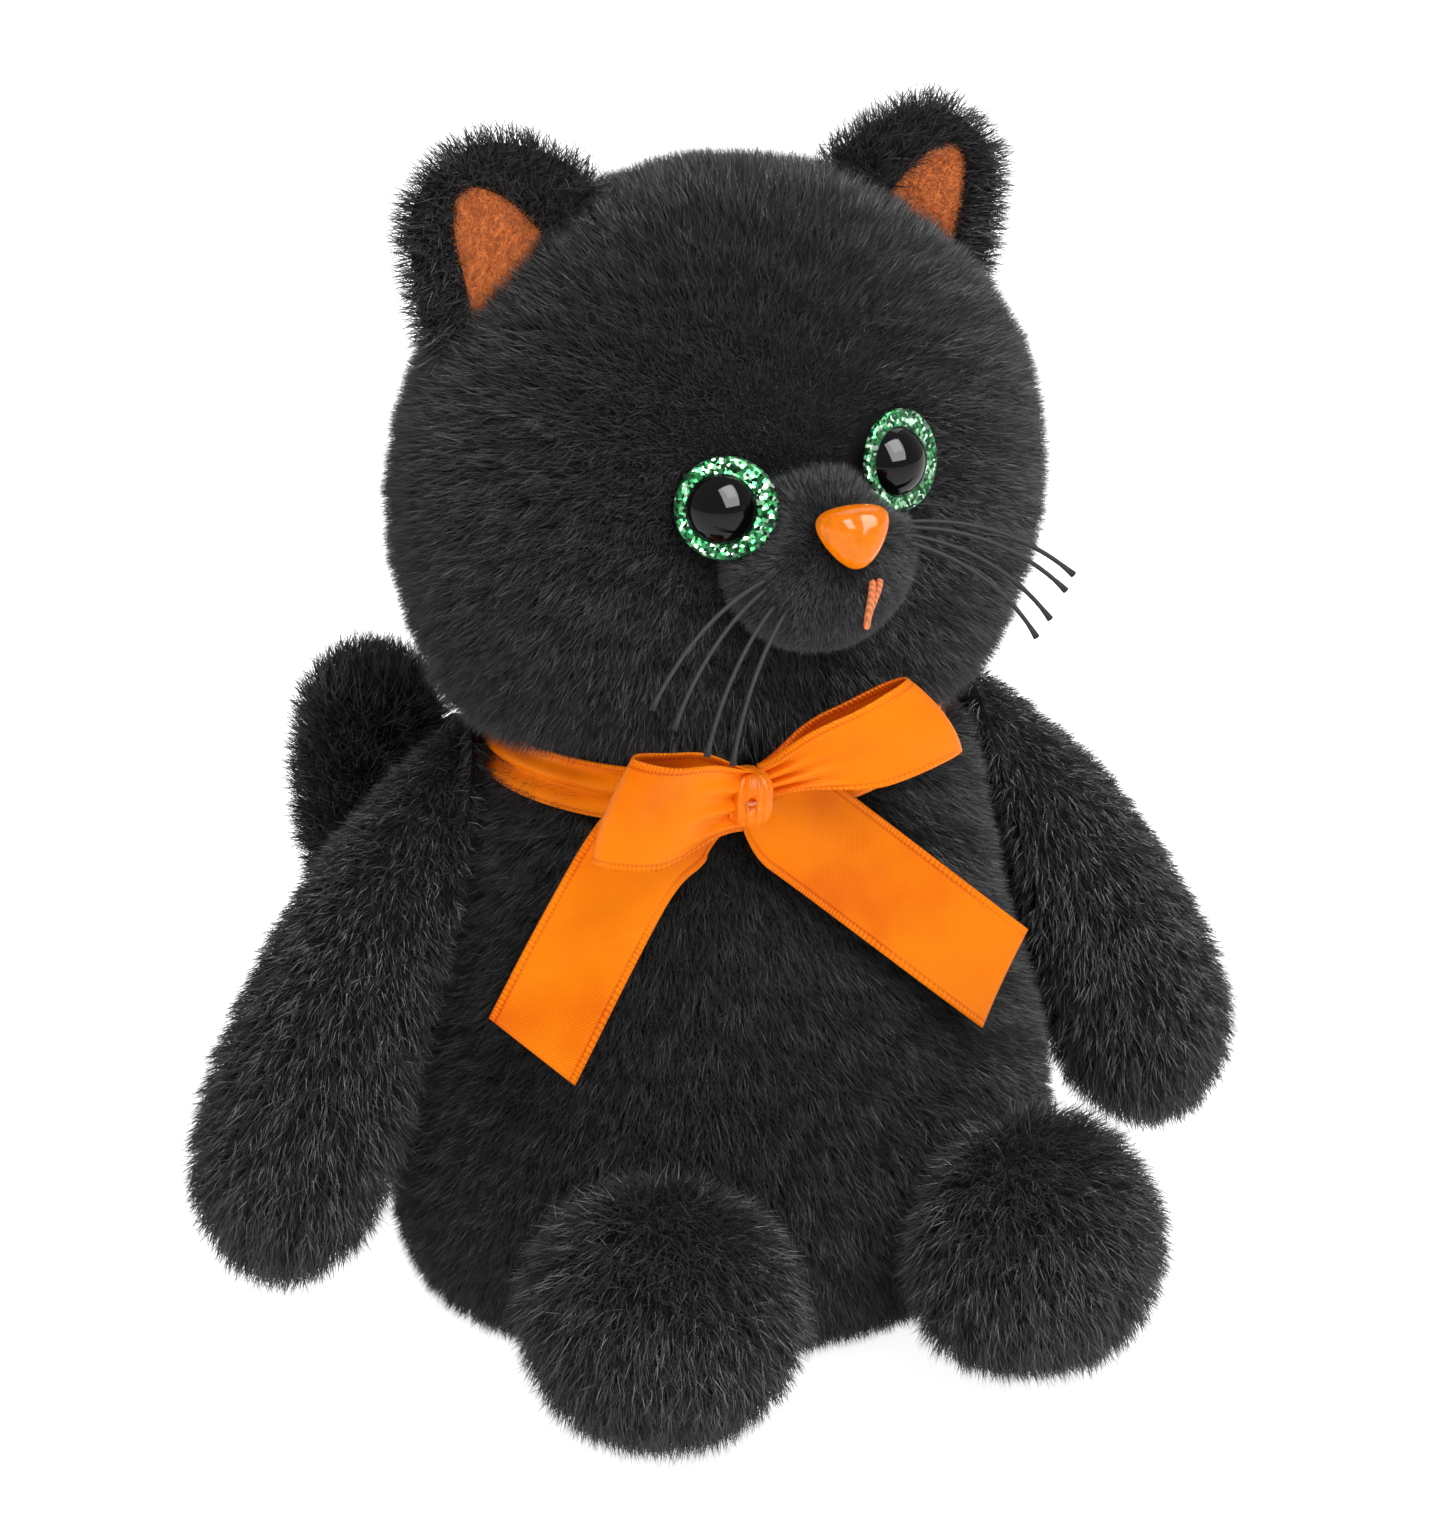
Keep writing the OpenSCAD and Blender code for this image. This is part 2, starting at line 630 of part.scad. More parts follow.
// Foot as a turned ball whose back is a flat cone round the hip, so that it can tip.
foot_slack = 6;
module foot_form(inset) {
    r = foot_d / 2 - inset;
    arc = 26;
    first = -asin((hip_to_foot - foot_slack) / (foot_d / 2));
    rim = r * cos(first);
    rotate_extrude($fn = 64) polygon(concat(
        [[0, 0], [rim, rim * tan(hip_room)]],
        [for (i = [0:arc]) let (a = first + (90 - first) * i / arc)
            if (hip_to_foot + r * sin(a) > r * cos(a) * tan(hip_room) + 0.4)
            [i == arc ? 0 : r * cos(a), hip_to_foot + r * sin(a)]]));
}
module leg_skin() {
    color(black) at_hip() difference() {
        foot_form(0);
        translate([0, 0, -fit]) foot_form(plush_t);
    }
}
module leg_stuffing() { color(white) at_hip() foot_form(plush_t + 2 * fit); }
module leg_left_skin() { leg_skin(); }
module leg_left_stuffing() { leg_stuffing(); }
module leg_right_skin() { other_side() leg_skin(); }
module leg_right_stuffing() { other_side() leg_stuffing(); }

// ---- tail ----
tail_share = lookup(tail_z / body_h, body_profile);
tail_back = tail_share * body_back * sqrt(1 - pow(tail_side / (tail_share * body_half), 2));
tail_splay = atan2(tail_side / pow(tail_share * body_half, 2), tail_back / pow(tail_share * body_back, 2));
// Frame of the tail: +Y square out of the back, +X to the cat's right along the back.
module at_tail() {
    translate([-tail_side, tail_back, tail_z]) rotate([0, 0, tail_splay]) translate([0, gap, 0])
        mirror([1, 0, 0]) children();
}
// The tail leaves the back square to it, turns up along the back in a short bend,
// then straightens up in a long bend.
short_bend = tail_d / 2;
short_steps = 5;
long_steps = 10;
tail_sides = 18;
lower_way = [sin(tail_lean), 0, cos(tail_lean)];
function in_short_bend(b) = short_bend * (lower_way * (1 - cos(b)) + [0, sin(b), 0]);
function in_long_bend(t) = in_short_bend(90) + tail_bend * [
    cos(tail_lean - t) - cos(tail_lean), 0, sin(tail_lean) - sin(tail_lean - t)];
tail_path = concat([[0, -8, 0], [0, 0, 0]],
    [for (i = [1:short_steps]) in_short_bend(90 * i / short_steps)],
    [for (i = [1:long_steps]) in_long_bend(tail_turn * i / long_steps)]);
module tail_form(inset) {
    last = len(tail_path) - 1;
    r = tail_d / 2 - inset;
    caps = 5;
    tip = tail_path[last] - tail_path[last - 1];
    way = tip / norm(tip);
    rings = concat(
        [for (i = [0:last]) [tail_path[i], r * min(1, 0.82 + 0.18 * i / (short_steps + 2))]],
        [for (k = [1:caps]) let (a = 88 * k / caps) [tail_path[last] + way * r * sin(a), r * cos(a)]]);
    intersection() {
        loft([for (i = [0:len(rings) - 1]) let (
                ahead = rings[min(i + 1, len(rings) - 1)][0] - rings[max(i - 1, 0)][0],
                f = ahead / norm(ahead),
                side = cross(f, [lower_way[2], 0, -lower_way[0]]), u = side / norm(side), v = cross(u, f))
            [for (k = [0:tail_sides - 1]) let (a = -360 * k / tail_sides)
                rings[i][0] + rings[i][1] * (cos(a) * u + sin(a) * v)]]);
        translate([-big / 2, 0, -big / 2]) cube(big);
    }
}
module tail_skin() {
    color(black) at_tail() difference() {
        tail_form(0);
        translate([0, -fit, 0]) tail_form(plush_t);
    }
}
module tail_stuffing() { color(white) at_tail() tail_form(plush_t + 2 * fit); }

body_front_panel();
body_back_panel();
seat_panel();
body_stuffing();
pellet_bag();
pellets();
neck_band();
bow_knot();
bow_stitch();
bow_loop_left();
bow_loop_right();
bow_end_left();
bow_end_right();
neck_plug();
head_face_panel();
head_back_panel();
head_stuffing();
muzzle_skin();
muzzle_stuffing();
iris(1);  // iris_left
iris(-1);  // iris_right
pupil(1);  // pupil_left
pupil(-1);  // pupil_right
eye_washer(1);  // eye_washer_left
eye_washer(-1);  // eye_washer_right
nose();
nose_washer();
mouth_stitch();
whiskers_left();
whiskers_right();
ear_left_fur();
ear_left_lining();
ear_right_fur();
ear_right_lining();
arm_left_skin();
arm_left_stuffing();
arm_right_skin();
arm_right_stuffing();
leg_left_skin();
leg_left_stuffing();
leg_right_skin();
leg_right_stuffing();
tail_skin();
tail_stuffing();
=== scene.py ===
"""Looks of the sitting plush cat: furred body, head, limbs and tail, glossy eyes and nose, satin bow."""

import logging
import math
from dataclasses import dataclass
from enum import Enum
from typing import Callable, Optional, Sequence

import bpy
import numpy as np
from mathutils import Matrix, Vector


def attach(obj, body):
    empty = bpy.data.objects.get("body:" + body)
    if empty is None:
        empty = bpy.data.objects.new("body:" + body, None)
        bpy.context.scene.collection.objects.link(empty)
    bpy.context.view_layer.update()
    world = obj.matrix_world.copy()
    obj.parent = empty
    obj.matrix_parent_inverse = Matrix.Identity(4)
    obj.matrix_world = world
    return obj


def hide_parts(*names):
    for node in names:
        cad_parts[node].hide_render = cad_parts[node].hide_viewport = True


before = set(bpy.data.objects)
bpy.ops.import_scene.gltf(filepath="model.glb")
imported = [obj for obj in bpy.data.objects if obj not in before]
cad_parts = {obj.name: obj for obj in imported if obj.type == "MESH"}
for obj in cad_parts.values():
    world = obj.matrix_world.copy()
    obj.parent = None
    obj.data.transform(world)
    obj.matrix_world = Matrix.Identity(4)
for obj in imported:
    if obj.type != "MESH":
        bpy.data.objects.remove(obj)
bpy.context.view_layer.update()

LOG = logging.getLogger("plush_cat")
MM = 0.001
FUR_MAP = "OFBake"
RIBBON_MAP = "ribbon"
DOWN = np.array([0.0, 0.0, -1.0])
Array = np.ndarray
Rgb = tuple[float, float, float]
Socket = bpy.types.NodeSocket


class Side(Enum):
    """The cat's own sides; the value is the sign of X on that side."""

    LEFT = 1
    RIGHT = -1

    @property
    def word(self) -> str:
        """Name used in piece, node and body names."""
        return self.name.lower()


class Axis(Enum):
    """Axis that a turn is made about."""

    X = 0
    Y = 1
    Z = 2


# ---- numbers and shapes ----


def turn(axis: Axis, degrees: float) -> Array:
    """Matrix that turns points about one axis.

    Args:
        axis: the axis of the turn.
        degrees: angle, anticlockwise seen from the axis's end.

    Returns:
        A 3 by 3 matrix.
    """
    c, s = math.cos(math.radians(degrees)), math.sin(math.radians(degrees))
    a, b = [k for k in range(3) if k != axis.value]
    m = np.eye(3)
    sign = -1 if axis is Axis.Y else 1
    m[a, a] = m[b, b] = c
    m[a, b], m[b, a] = -sign * s, sign * s
    return m


def unit(v: Array) -> Array:
    """Vectors at length one, along the last axis."""
    return v / np.maximum(np.linalg.norm(v, axis=-1, keepdims=True), 1e-12)


def smooth_step(low: float, high: float, x: Array) -> Array:
    """0 below low, 1 above high, with an even change between."""
    t = np.clip((x - low) / (high - low), 0, 1)
    return t * t * (3 - 2 * t)


def smooth_rows(rows: Sequence[Sequence[float]], count: int) -> Array:
    """Smooth curve through rows of numbers.

    A Catmull-Rom curve: each stretch is the cubic that passes through its two rows with the
    slope of the chord between their neighbours.

    Args:
        rows: the rows to pass through, in order.
        count: number of rows to give back, evenly spread over the stretches.

    Returns:
        An array of count rows.
    """
    p = np.asarray(rows, float)
    last = len(p) - 1
    t = np.linspace(0, last, count)
    i = np.minimum(t.astype(int), last - 1)
    f = (t - i)[:, None]
    a, b, c, d = p[np.maximum(i - 1, 0)], p[i], p[i + 1], p[np.minimum(i + 2, last)]
    return b + f * ((c - a) / 2 + f * ((2 * a - 5 * b + 4 * c - d) / 2 + f * (3 * b - a - 3 * c + d) / 2))


@dataclass(frozen=True)
class Place:
    """A piece's own frame: where its origin is and which way its axes point, in millimetres."""

    origin: Array
    axes: Array

    @staticmethod
    def at(x: float, y: float, z: float, *turns: Array) -> "Place":
        """Frame at a point, turned by the matrices from the outermost to the innermost."""
        axes = np.eye(3)
        for m in turns:
            axes = axes @ m
        return Place(np.array([x, y, z], float), axes)

    def inside(self, outer: "Place") -> "Place":
        """This frame when it is itself given in an outer frame."""
        return Place(outer.point(self.origin), outer.axes @ self.axes)

    def mirrored(self, side: Side) -> "Place":
        """This frame on the other side for the right, unchanged for the left."""
        flip = np.diag([float(side.value), 1.0, 1.0])
        return Place(flip @ self.origin, flip @ self.axes)

    def point(self, p: Array) -> Array:
        """Points of this frame in the row frame."""
        return p @ self.axes.T + self.origin

    def way(self, d: Array) -> Array:
        """Directions of this frame in the row frame."""
        return d @ self.axes.T


@dataclass
class Surface:
    """Points and faces of one form, in millimetres; uv holds one pair per point if there is any."""

    points: Array
    quads: Array
    tris: Array
    uv: Optional[Array] = None

    def placed(self, place: Place) -> "Surface":
        """The form in the row frame, with its faces turned outwards if the frame is mirrored."""
        flip = np.linalg.det(place.axes) < 0
        quads = self.quads[:, ::-1] if flip else self.quads
        tris = self.tris[:, ::-1] if flip else self.tris
        return Surface(place.point(self.points), quads, tris, self.uv)

    def triangles(self) -> Array:
        """All faces as triangles."""
        q = self.quads
        return np.concatenate([q[:, [0, 1, 2]], q[:, [0, 2, 3]], self.tris])

    def normals(self) -> Array:
        """Outward normal at each point: the sum of its triangles' area vectors, at length one."""
        t = self.triangles()
        a, b, c = (self.points[t[:, k]] for k in range(3))
        area = np.cross(b - a, c - a)
        total = np.zeros_like(self.points)
        for k in range(3):
            np.add.at(total, t[:, k], area)
        return unit(total)

    def grown(self, by: float) -> "Surface":
        """The form with each point moved out along its normal."""
        return Surface(self.points + by * self.normals(), self.quads, self.tris, self.uv)


def grid_quads(rows: int, columns: int, wrap: bool) -> Array:
    """Faces between neighbouring rows and columns of a grid of points."""
    r = np.arange(rows - 1)[:, None]
    c = np.arange(columns if wrap else columns - 1)[None, :]
    n = (c + 1) % columns
    corners = np.stack(np.broadcast_arrays(r * columns + c, r * columns + n, (r + 1) * columns + n,
                                           (r + 1) * columns + c), -1)
    return corners.reshape(-1, 4)


def closed_tube(rings: Array) -> Surface:
    """Closed form from rings of points, each end closed by a fan round its middle.

    Args:
        rings: array of rings by points by 3, each ring anticlockwise seen from the last ring's side.

    Returns:
        The closed form, with its faces outwards.
    """
    count, n = rings.shape[:2]
    ends = rings[[0, -1]].mean(1)
    points = np.concatenate([rings.reshape(-1, 3), ends])
    k = np.arange(n)
    after = (k + 1) % n
    low = np.stack([after, k, np.full(n, count * n)], 1)
    base = (count - 1) * n
    high = np.stack([base + k, base + after, np.full(n, count * n + 1)], 1)
    return Surface(points, grid_quads(count, n, True), np.concatenate([low, high]))


def swept(path: Array, radius: Array, sides: int, hint: Array) -> Surface:
    """Round tube along a path: each ring is a circle square to the way the path runs.

    Args:
        path: points of the centre line.
        radius: radius at each point, or an array of points by sides for a shaped section.
        sides: number of points in a ring.
        hint: a direction that the path never runs along, to keep the rings from twisting.

    Returns:
        The closed tube.
    """
    way = unit(np.gradient(path, axis=0))
    u = unit(np.cross(way, hint))
    v = np.cross(way, u)
    a = 2 * math.pi * np.arange(sides) / sides
    r = radius if radius.ndim == 2 else radius[:, None]
    ring = np.cos(a)[None, :, None] * u[:, None] + np.sin(a)[None, :, None] * v[:, None]
    return closed_tube(path[:, None] + r[..., None] * ring)


def turned(profile: Array, around: int) -> Surface:
    """Form turned about Z from rows of radius and height, lowest row first."""
    t = 2 * math.pi * np.arange(around) / around
    x = profile[:, :1] * np.cos(t)
    y = profile[:, :1] * np.sin(t)
    return closed_tube(np.stack([x, y, np.broadcast_to(profile[:, 1:], x.shape)], -1))


def round_ends(along: Array, length: float, radius: Array) -> Array:
    """Radius along a tube whose two ends are domes: a circle's height within one radius of each end."""
    near = np.minimum(along, length - along)
    share = np.clip(near / np.maximum(radius, 1e-9), 0, 1)
    return radius * np.sqrt(np.clip(1 - (1 - share) ** 2, 0, 1))


# ---- finishes ----


@dataclass(frozen=True)
class Finish:
    """A plain surface finish; each kind of finish adds its own nodes to it."""

    name: str
    colour: Rgb
    rough: float = 0.6
    specular: float = 0.5
    sheen: float = 0.0
    coat: float = 0.0
    metal: float = 0.0

    def make(self) -> bpy.types.Material:
        """Builds the material once and gives it back on later calls."""
        name = f"{self.name}_look"
        found = bpy.data.materials.get(name)
        if found:
            return found
        material = bpy.data.materials.new(name)
        material.use_nodes = True
        tree = material.node_tree
        shader = tree.nodes["Principled BSDF"]
        shader.inputs["Base Color"].default_value = (*self.colour, 1)
        shader.inputs["Roughness"].default_value = self.rough
        shader.inputs["Specular IOR Level"].default_value = self.specular
        shader.inputs["Sheen Weight"].default_value = self.sheen
        shader.inputs["Sheen Roughness"].default_value = 0.5
        shader.inputs["Coat Weight"].default_value = self.coat
        shader.inputs["Coat Roughness"].default_value = 0.04
        shader.inputs["Metallic"].default_value = self.metal
        self.dress(tree, shader)
        return material

    def dress(self, tree: bpy.types.NodeTree, shader: bpy.types.Node) -> None:
        """Adds a faint unevenness of tone, read from the object's own place."""
        noise = self.noise(tree, 900.0)
        self.tint(tree, shader, noise.outputs["Fac"], [(0.3, self.shade(0.85)), (0.7, self.shade(1.1))])

    def shade(self, factor: float) -> Rgb:
        """The finish's colour, lighter or darker."""
        return tuple(min(c * factor, 1.0) for c in self.colour)

    @staticmethod
    def place(tree: bpy.types.NodeTree) -> Socket:
        """Place on the object, in metres."""
        return tree.nodes.new("ShaderNodeTexCoord").outputs["Object"]

    def noise(self, tree: bpy.types.NodeTree, scale: float, detail: float = 3.0) -> bpy.types.Node:
        """Noise read from the object's own place."""
        node = tree.nodes.new("ShaderNodeTexNoise")
        node.inputs["Scale"].default_value = scale
        node.inputs["Detail"].default_value = detail
        tree.links.new(self.place(tree), node.inputs["Vector"])
        return node

    @staticmethod
    def ramp(tree: bpy.types.NodeTree, fac: Socket,
             stops: Sequence[tuple[float, Rgb]]) -> Socket:
        """Colour that runs through stops as a number rises."""
        node = tree.nodes.new("ShaderNodeValToRGB")
        elements = node.color_ramp.elements
        while len(elements) < len(stops):
            elements.new(0.5)
        for element, (at, colour) in zip(elements, stops):
            element.position = at
            element.color = (*colour, 1)
        tree.links.new(fac, node.inputs["Fac"])
        return node.outputs["Color"]

    def tint(self, tree: bpy.types.NodeTree, shader: bpy.types.Node, fac: Socket,
             stops: Sequence[tuple[float, Rgb]]) -> None:
        """Sets the base colour from a ramp."""
        tree.links.new(self.ramp(tree, fac, stops), shader.inputs["Base Color"])

    @staticmethod
    def bump(tree: bpy.types.NodeTree, shader: bpy.types.Node, height: Socket,
             strength: float, distance: float) -> bpy.types.Node:
        """Raises the surface by a height map, with the distance in millimetres."""
        node = tree.nodes.new("ShaderNodeBump")
        node.inputs["Strength"].default_value = strength
        node.inputs["Distance"].default_value = distance * MM
        tree.links.new(height, node.inputs["Height"])
        tree.links.new(node.outputs["Normal"], shader.inputs["Normal"])
        return node

    @staticmethod
    def map_parts(tree: bpy.types.NodeTree, name: str) -> tuple[Socket, Socket]:
        """The two numbers of one of the piece's own maps."""
        uv = tree.nodes.new("ShaderNodeUVMap")
        uv.uv_map = name
        split = tree.nodes.new("ShaderNodeSeparateXYZ")
        tree.links.new(uv.outputs["UV"], split.inputs["Vector"])
        return split.outputs["X"], split.outputs["Y"]

    @staticmethod
    def calc(tree: bpy.types.NodeTree, operation: str, a: Socket | float, b: Socket | float = 0.0) -> Socket:
        """One sum on sockets or plain numbers."""
        node = tree.nodes.new("ShaderNodeMath")
        node.operation = operation
        for socket, value in zip(node.inputs, (a, b)):
            if isinstance(value, (int, float)):
                socket.default_value = value
            else:
                tree.links.new(value, socket)
        return node.outputs[0]

    def times(self, tree: bpy.types.NodeTree, a: Socket, b: Socket | float) -> Socket:
        """Product of two."""
        return self.calc(tree, "MULTIPLY", a, b)

    def plus(self, tree: bpy.types.NodeTree, a: Socket, b: Socket | float) -> Socket:
        """Sum of two."""
        return self.calc(tree, "ADD", a, b)

    def wave(self, tree: bpy.types.NodeTree, at: Socket, pitch: float) -> Socket:
        """Sine wave with that pitch along a length in millimetres."""
        return self.calc(tree, "SINE", self.times(tree, at, 2 * math.pi / pitch))


@dataclass(frozen=True)
class FurFinish(Finish):
    """Pile fibre: dark at the root as painted shade and lighter at the tip as painted light, each fibre with
    a tone of its own.
    """

    # Tip tones: the fibres' lighter ends, painted light on the pile.
    tip: Rgb = (0.035, 0.035, 0.038)
    bright: Rgb = (0.11, 0.11, 0.118)

    def dress(self, tree: bpy.types.NodeTree, shader: bpy.types.Node) -> None:
        """Reads the fibre's map: across is its own chance number, up is the way to its tip, from painted
        shade at the root to painted light at the tip.
        """
        chance, rise = self.map_parts(tree, FUR_MAP)
        tone = self.ramp(tree, chance, [(0, self.shade(1.6)), (0.55, self.tip), (1, self.bright)])
        # Mixes from the root colour, painted shade low in the pile, up to the tip's painted light.
        mix = tree.nodes.new("ShaderNodeMix")
        mix.data_type = "RGBA"
        mix.inputs["A"].default_value = (*self.colour, 1)
        tree.links.new(rise, mix.inputs["Factor"])
        tree.links.new(tone, mix.inputs["B"])
        tree.links.new(mix.outputs["Result"], shader.inputs["Base Color"])


@dataclass(frozen=True)
class SatinFinish(Finish):
    """Satin ribbon: long shine across its width, fine slanted twill, a bound edge with cross ticks."""

    length: float = 50.0
    width: float = 17.0
    fold_shade_from: float = 2.0  # share of the length past which the strip lies inside a fold
    # Lowest ramp stop: painted shade inside a fold and at the noise's dark end; on the bound edge's line,
    # the line's own darker colour.
    deep: Rgb = (0.6, 0.06, 0.002)
    shine: Rgb = (1.0, 0.42, 0.08)
    brushed: float = 0.55
    twill_pitch: float = 0.42
    tick_pitch: float = 0.6
    selvedge: float = 1.1  # how far in from the edge the bound edge's line runs
    line_width: float = 0.22

    def dress(self, tree: bpy.types.NodeTree, shader: bpy.types.Node) -> None:
        """Reads the ribbon's map: U is the share of its length, V the share of its width.

        The tone is a fifth of the weave and a slow noise of painted light and shade, darker on the bound
        edge's line and, as painted shade, inside a fold. The weave is the slanted twill and, outside the
        line, the cross ticks.
        """
        shader.inputs["Anisotropic"].default_value = self.brushed
        shader.inputs["Specular Tint"].default_value = (*self.shine, 1.0)
        share, breadth = self.map_parts(tree, RIBBON_MAP)
        along = self.times(tree, share, self.length)
        across = self.times(tree, breadth, self.width)
        twill = self.wave(tree, self.plus(tree, along, self.times(tree, across, 0.8)), self.twill_pitch)
        ticks = self.wave(tree, along, self.tick_pitch)
        bound = 0.5 - self.selvedge / self.width
        middle = self.calc(tree, "ABSOLUTE", self.calc(tree, "SUBTRACT", breadth, 0.5))
        edge = self.calc(tree, "GREATER_THAN", middle, bound)
        line = self.calc(tree, "COMPARE", middle, bound)
        line.node.inputs[2].default_value = self.line_width / self.width
        weave = self.plus(tree, self.times(tree, twill, 0.35),
                          self.times(tree, self.times(tree, ticks, edge), 0.7))
        # Slow noise that paints light and shade over the satin at random: its low end darkens toward deep,
        # its high end lightens toward the top stop.
        light_shade_noise = self.noise(tree, 60.0, 2.0)
        painted_light_shade = self.plus(tree, self.times(tree, light_shade_noise.outputs["Fac"], 0.9), 0.06)
        tone = self.plus(tree, self.times(tree, weave, 0.2), painted_light_shade)
        # Painted shade: past that share of the length the strip lies inside a fold and is darkened toward
        # deep.
        inner = self.calc(tree, "GREATER_THAN", share, self.fold_shade_from)
        line_and_fold_shade = self.plus(tree, self.times(tree, line, 0.2), self.times(tree, inner, 0.3))
        tone = self.calc(tree, "SUBTRACT", tone, line_and_fold_shade)
        # Top stop, 1.12 times the colour: painted light on the satin.
        self.tint(tree, shader, tone, [(0.12, self.deep), (0.5, self.colour), (0.85, self.shade(1.12))])
        self.bump(tree, shader, self.calc(tree, "SUBTRACT", weave, line), 0.55, 0.08)


@dataclass(frozen=True)
class GlitterFinish(Finish):
    """Flakes of foil in clear plastic: each flake has its own green and leans its own way; a few are painted
    near-white as glints.
    """

    flake: float = 0.55
    dark: Rgb = (0.001, 0.012, 0.004)
    light: Rgb = (0.04, 0.4, 0.11)

    def dress(self, tree: bpy.types.NodeTree, shader: bpy.types.Node) -> None:
        """Colours and tilts each cell of a fine cell pattern; cells at the near-white top stop are painted
        glints.
        """
        cells = tree.nodes.new("ShaderNodeTexVoronoi")
        cells.inputs["Scale"].default_value = 1 / (self.flake * MM)
        tree.links.new(self.place(tree), cells.inputs["Vector"])
        split = tree.nodes.new("ShaderNodeSeparateColor")
        tree.links.new(cells.outputs["Color"], split.inputs["Color"])
        # Near-white top stop at 0.93: a painted glint on the few flakes that reach it.
        self.tint(tree, shader, split.outputs["Red"],
                  [(0.1, self.dark), (0.45, self.colour), (0.75, self.light), (0.93, (0.7, 1, 0.75))])
        geometry = tree.nodes.new("ShaderNodeNewGeometry")
        lean = tree.nodes.new("ShaderNodeVectorMath")
        lean.operation = "MULTIPLY_ADD"
        lean.inputs[1].default_value = (0.9, 0.9, 0.9)
        lean.inputs[2].default_value = (-0.45, -0.45, -0.45)
        tree.links.new(cells.outputs["Color"], lean.inputs[0])
        total = tree.nodes.new("ShaderNodeVectorMath")
        tree.links.new(geometry.outputs["Normal"], total.inputs[0])
        tree.links.new(lean.outputs[0], total.inputs[1])
        straight = tree.nodes.new("ShaderNodeVectorMath")
        straight.operation = "NORMALIZE"
        tree.links.new(total.outputs[0], straight.inputs[0])
        tree.links.new(straight.outputs[0], shader.inputs["Normal"])


@dataclass(frozen=True)
class FleeceFinish(Finish):
    """Short brushed fleece: soft mottling and a fine uneven nap."""

    def dress(self, tree: bpy.types.NodeTree, shader: bpy.types.Node) -> None:
        """Mixes a coarse and a fine noise for tone and for height."""
        fine = self.noise(tree, 1600.0, 4.0)
        coarse = self.noise(tree, 260.0, 2.0)
        both = self.plus(tree, self.times(tree, fine.outputs["Fac"], 0.6),
                         self.times(tree, coarse.outputs["Fac"], 0.4))
        self.tint(tree, shader, both, [(0.3, self.shade(0.6)), (0.7, self.shade(1.25))])
        self.bump(tree, shader, fine.outputs["Fac"], 0.6, 0.35)


@dataclass(frozen=True)
class ThreadFinish(Finish):
    """Twisted thread: fine slanted ply lines."""

    ply: float = 0.5

    def dress(self, tree: bpy.types.NodeTree, shader: bpy.types.Node) -> None:
        """Draws slanted bands at the ply's pitch."""
        waves = tree.nodes.new("ShaderNodeTexWave")
        waves.bands_direction = "DIAGONAL"
        waves.inputs["Scale"].default_value = 1 / (self.ply * MM) / 3
        waves.inputs["Distortion"].default_value = 2.0
        tree.links.new(self.place(tree), waves.inputs["Vector"])
        self.tint(tree, shader, waves.outputs["Fac"], [(0, self.shade(0.6)), (1, self.shade(1.15))])
        self.bump(tree, shader, waves.outputs["Fac"], 0.4, 0.1)


# Fibre colours: the root colour is painted shade low in the pile, and tip and bright are painted light at
# the tips. The long fur is the same black plush as the face fur, with its roots painted darker as more
# shade.
LONG_FUR = FurFinish("long_fur", (0.00372, 0.00372, 0.00403), rough=0.5, specular=0.35, sheen=0.1)
FACE_FUR = FurFinish("face_fur", (0.00546, 0.00546, 0.00585), rough=0.55, specular=0.35, sheen=0.1,
                     tip=(0.036, 0.036, 0.038), bright=(0.1, 0.1, 0.107))
MUZZLE_FUR = FurFinish("muzzle_fur", (0.012, 0.012, 0.013), rough=0.6, specular=0.3, sheen=0.1,
                       tip=(0.05, 0.05, 0.054), bright=(0.11, 0.11, 0.117))
FLEECE_FUR = FurFinish("lining_nap", (0.4, 0.1, 0.012), rough=0.8, specular=0.2, sheen=0.2,
                       tip=(0.72, 0.2, 0.035), bright=(0.9, 0.36, 0.1))
BACKING = FleeceFinish("pile_backing", (0.006, 0.006, 0.0065), rough=0.95, specular=0.1)
FLEECE = FleeceFinish("orange_fleece", (0.858, 0.221, 0.039), rough=0.9, specular=0.2, sheen=0.25)
THREAD = ThreadFinish("orange_thread", (0.75, 0.2, 0.06), rough=0.7, specular=0.3, sheen=0.1)
BRISTLE = Finish("black_thread", (0.022, 0.022, 0.023), rough=0.7, specular=0.2)
PUPIL = Finish("black_gloss", (0.002, 0.002, 0.0022), rough=0.04, specular=0.22)
NOSE = Finish("orange_gloss", (0.84, 0.19, 0.001), rough=0.13, specular=0.22)
IRIS = GlitterFinish("green_glitter", (0.008, 0.12, 0.035), rough=0.3, specular=0.4, coat=0.1, metal=0.6)
FILL = FleeceFinish("fibre_fill", (0.8, 0.8, 0.77), rough=0.95, specular=0.2)
CLOTH = FleeceFinish("bag_cloth", (0.7, 0.68, 0.62), rough=0.9, specular=0.2)
PLASTIC = Finish("white_plastic", (0.75, 0.75, 0.73), rough=0.4)
PELLETS = FleeceFinish("plastic_pellets", (0.6, 0.6, 0.58), rough=0.5)
RIBBON_ORANGE = (0.9, 0.2, 0.001)
KNOT_SATIN = Finish("orange_satin_knot", RIBBON_ORANGE, rough=0.4, specular=0.14, sheen=0.01)


def satin(name: str, length: float, width: float, fold_shade_from: float) -> SatinFinish:
    """Orange satin for a ribbon of that length and width in millimetres, painted in shade past a share of
    it.
    """
    return SatinFinish(name, RIBBON_ORANGE, rough=0.33, specular=0.3, sheen=0.01,
                       length=length, width=width, fold_shade_from=fold_shade_from)


# ---- meshes ----


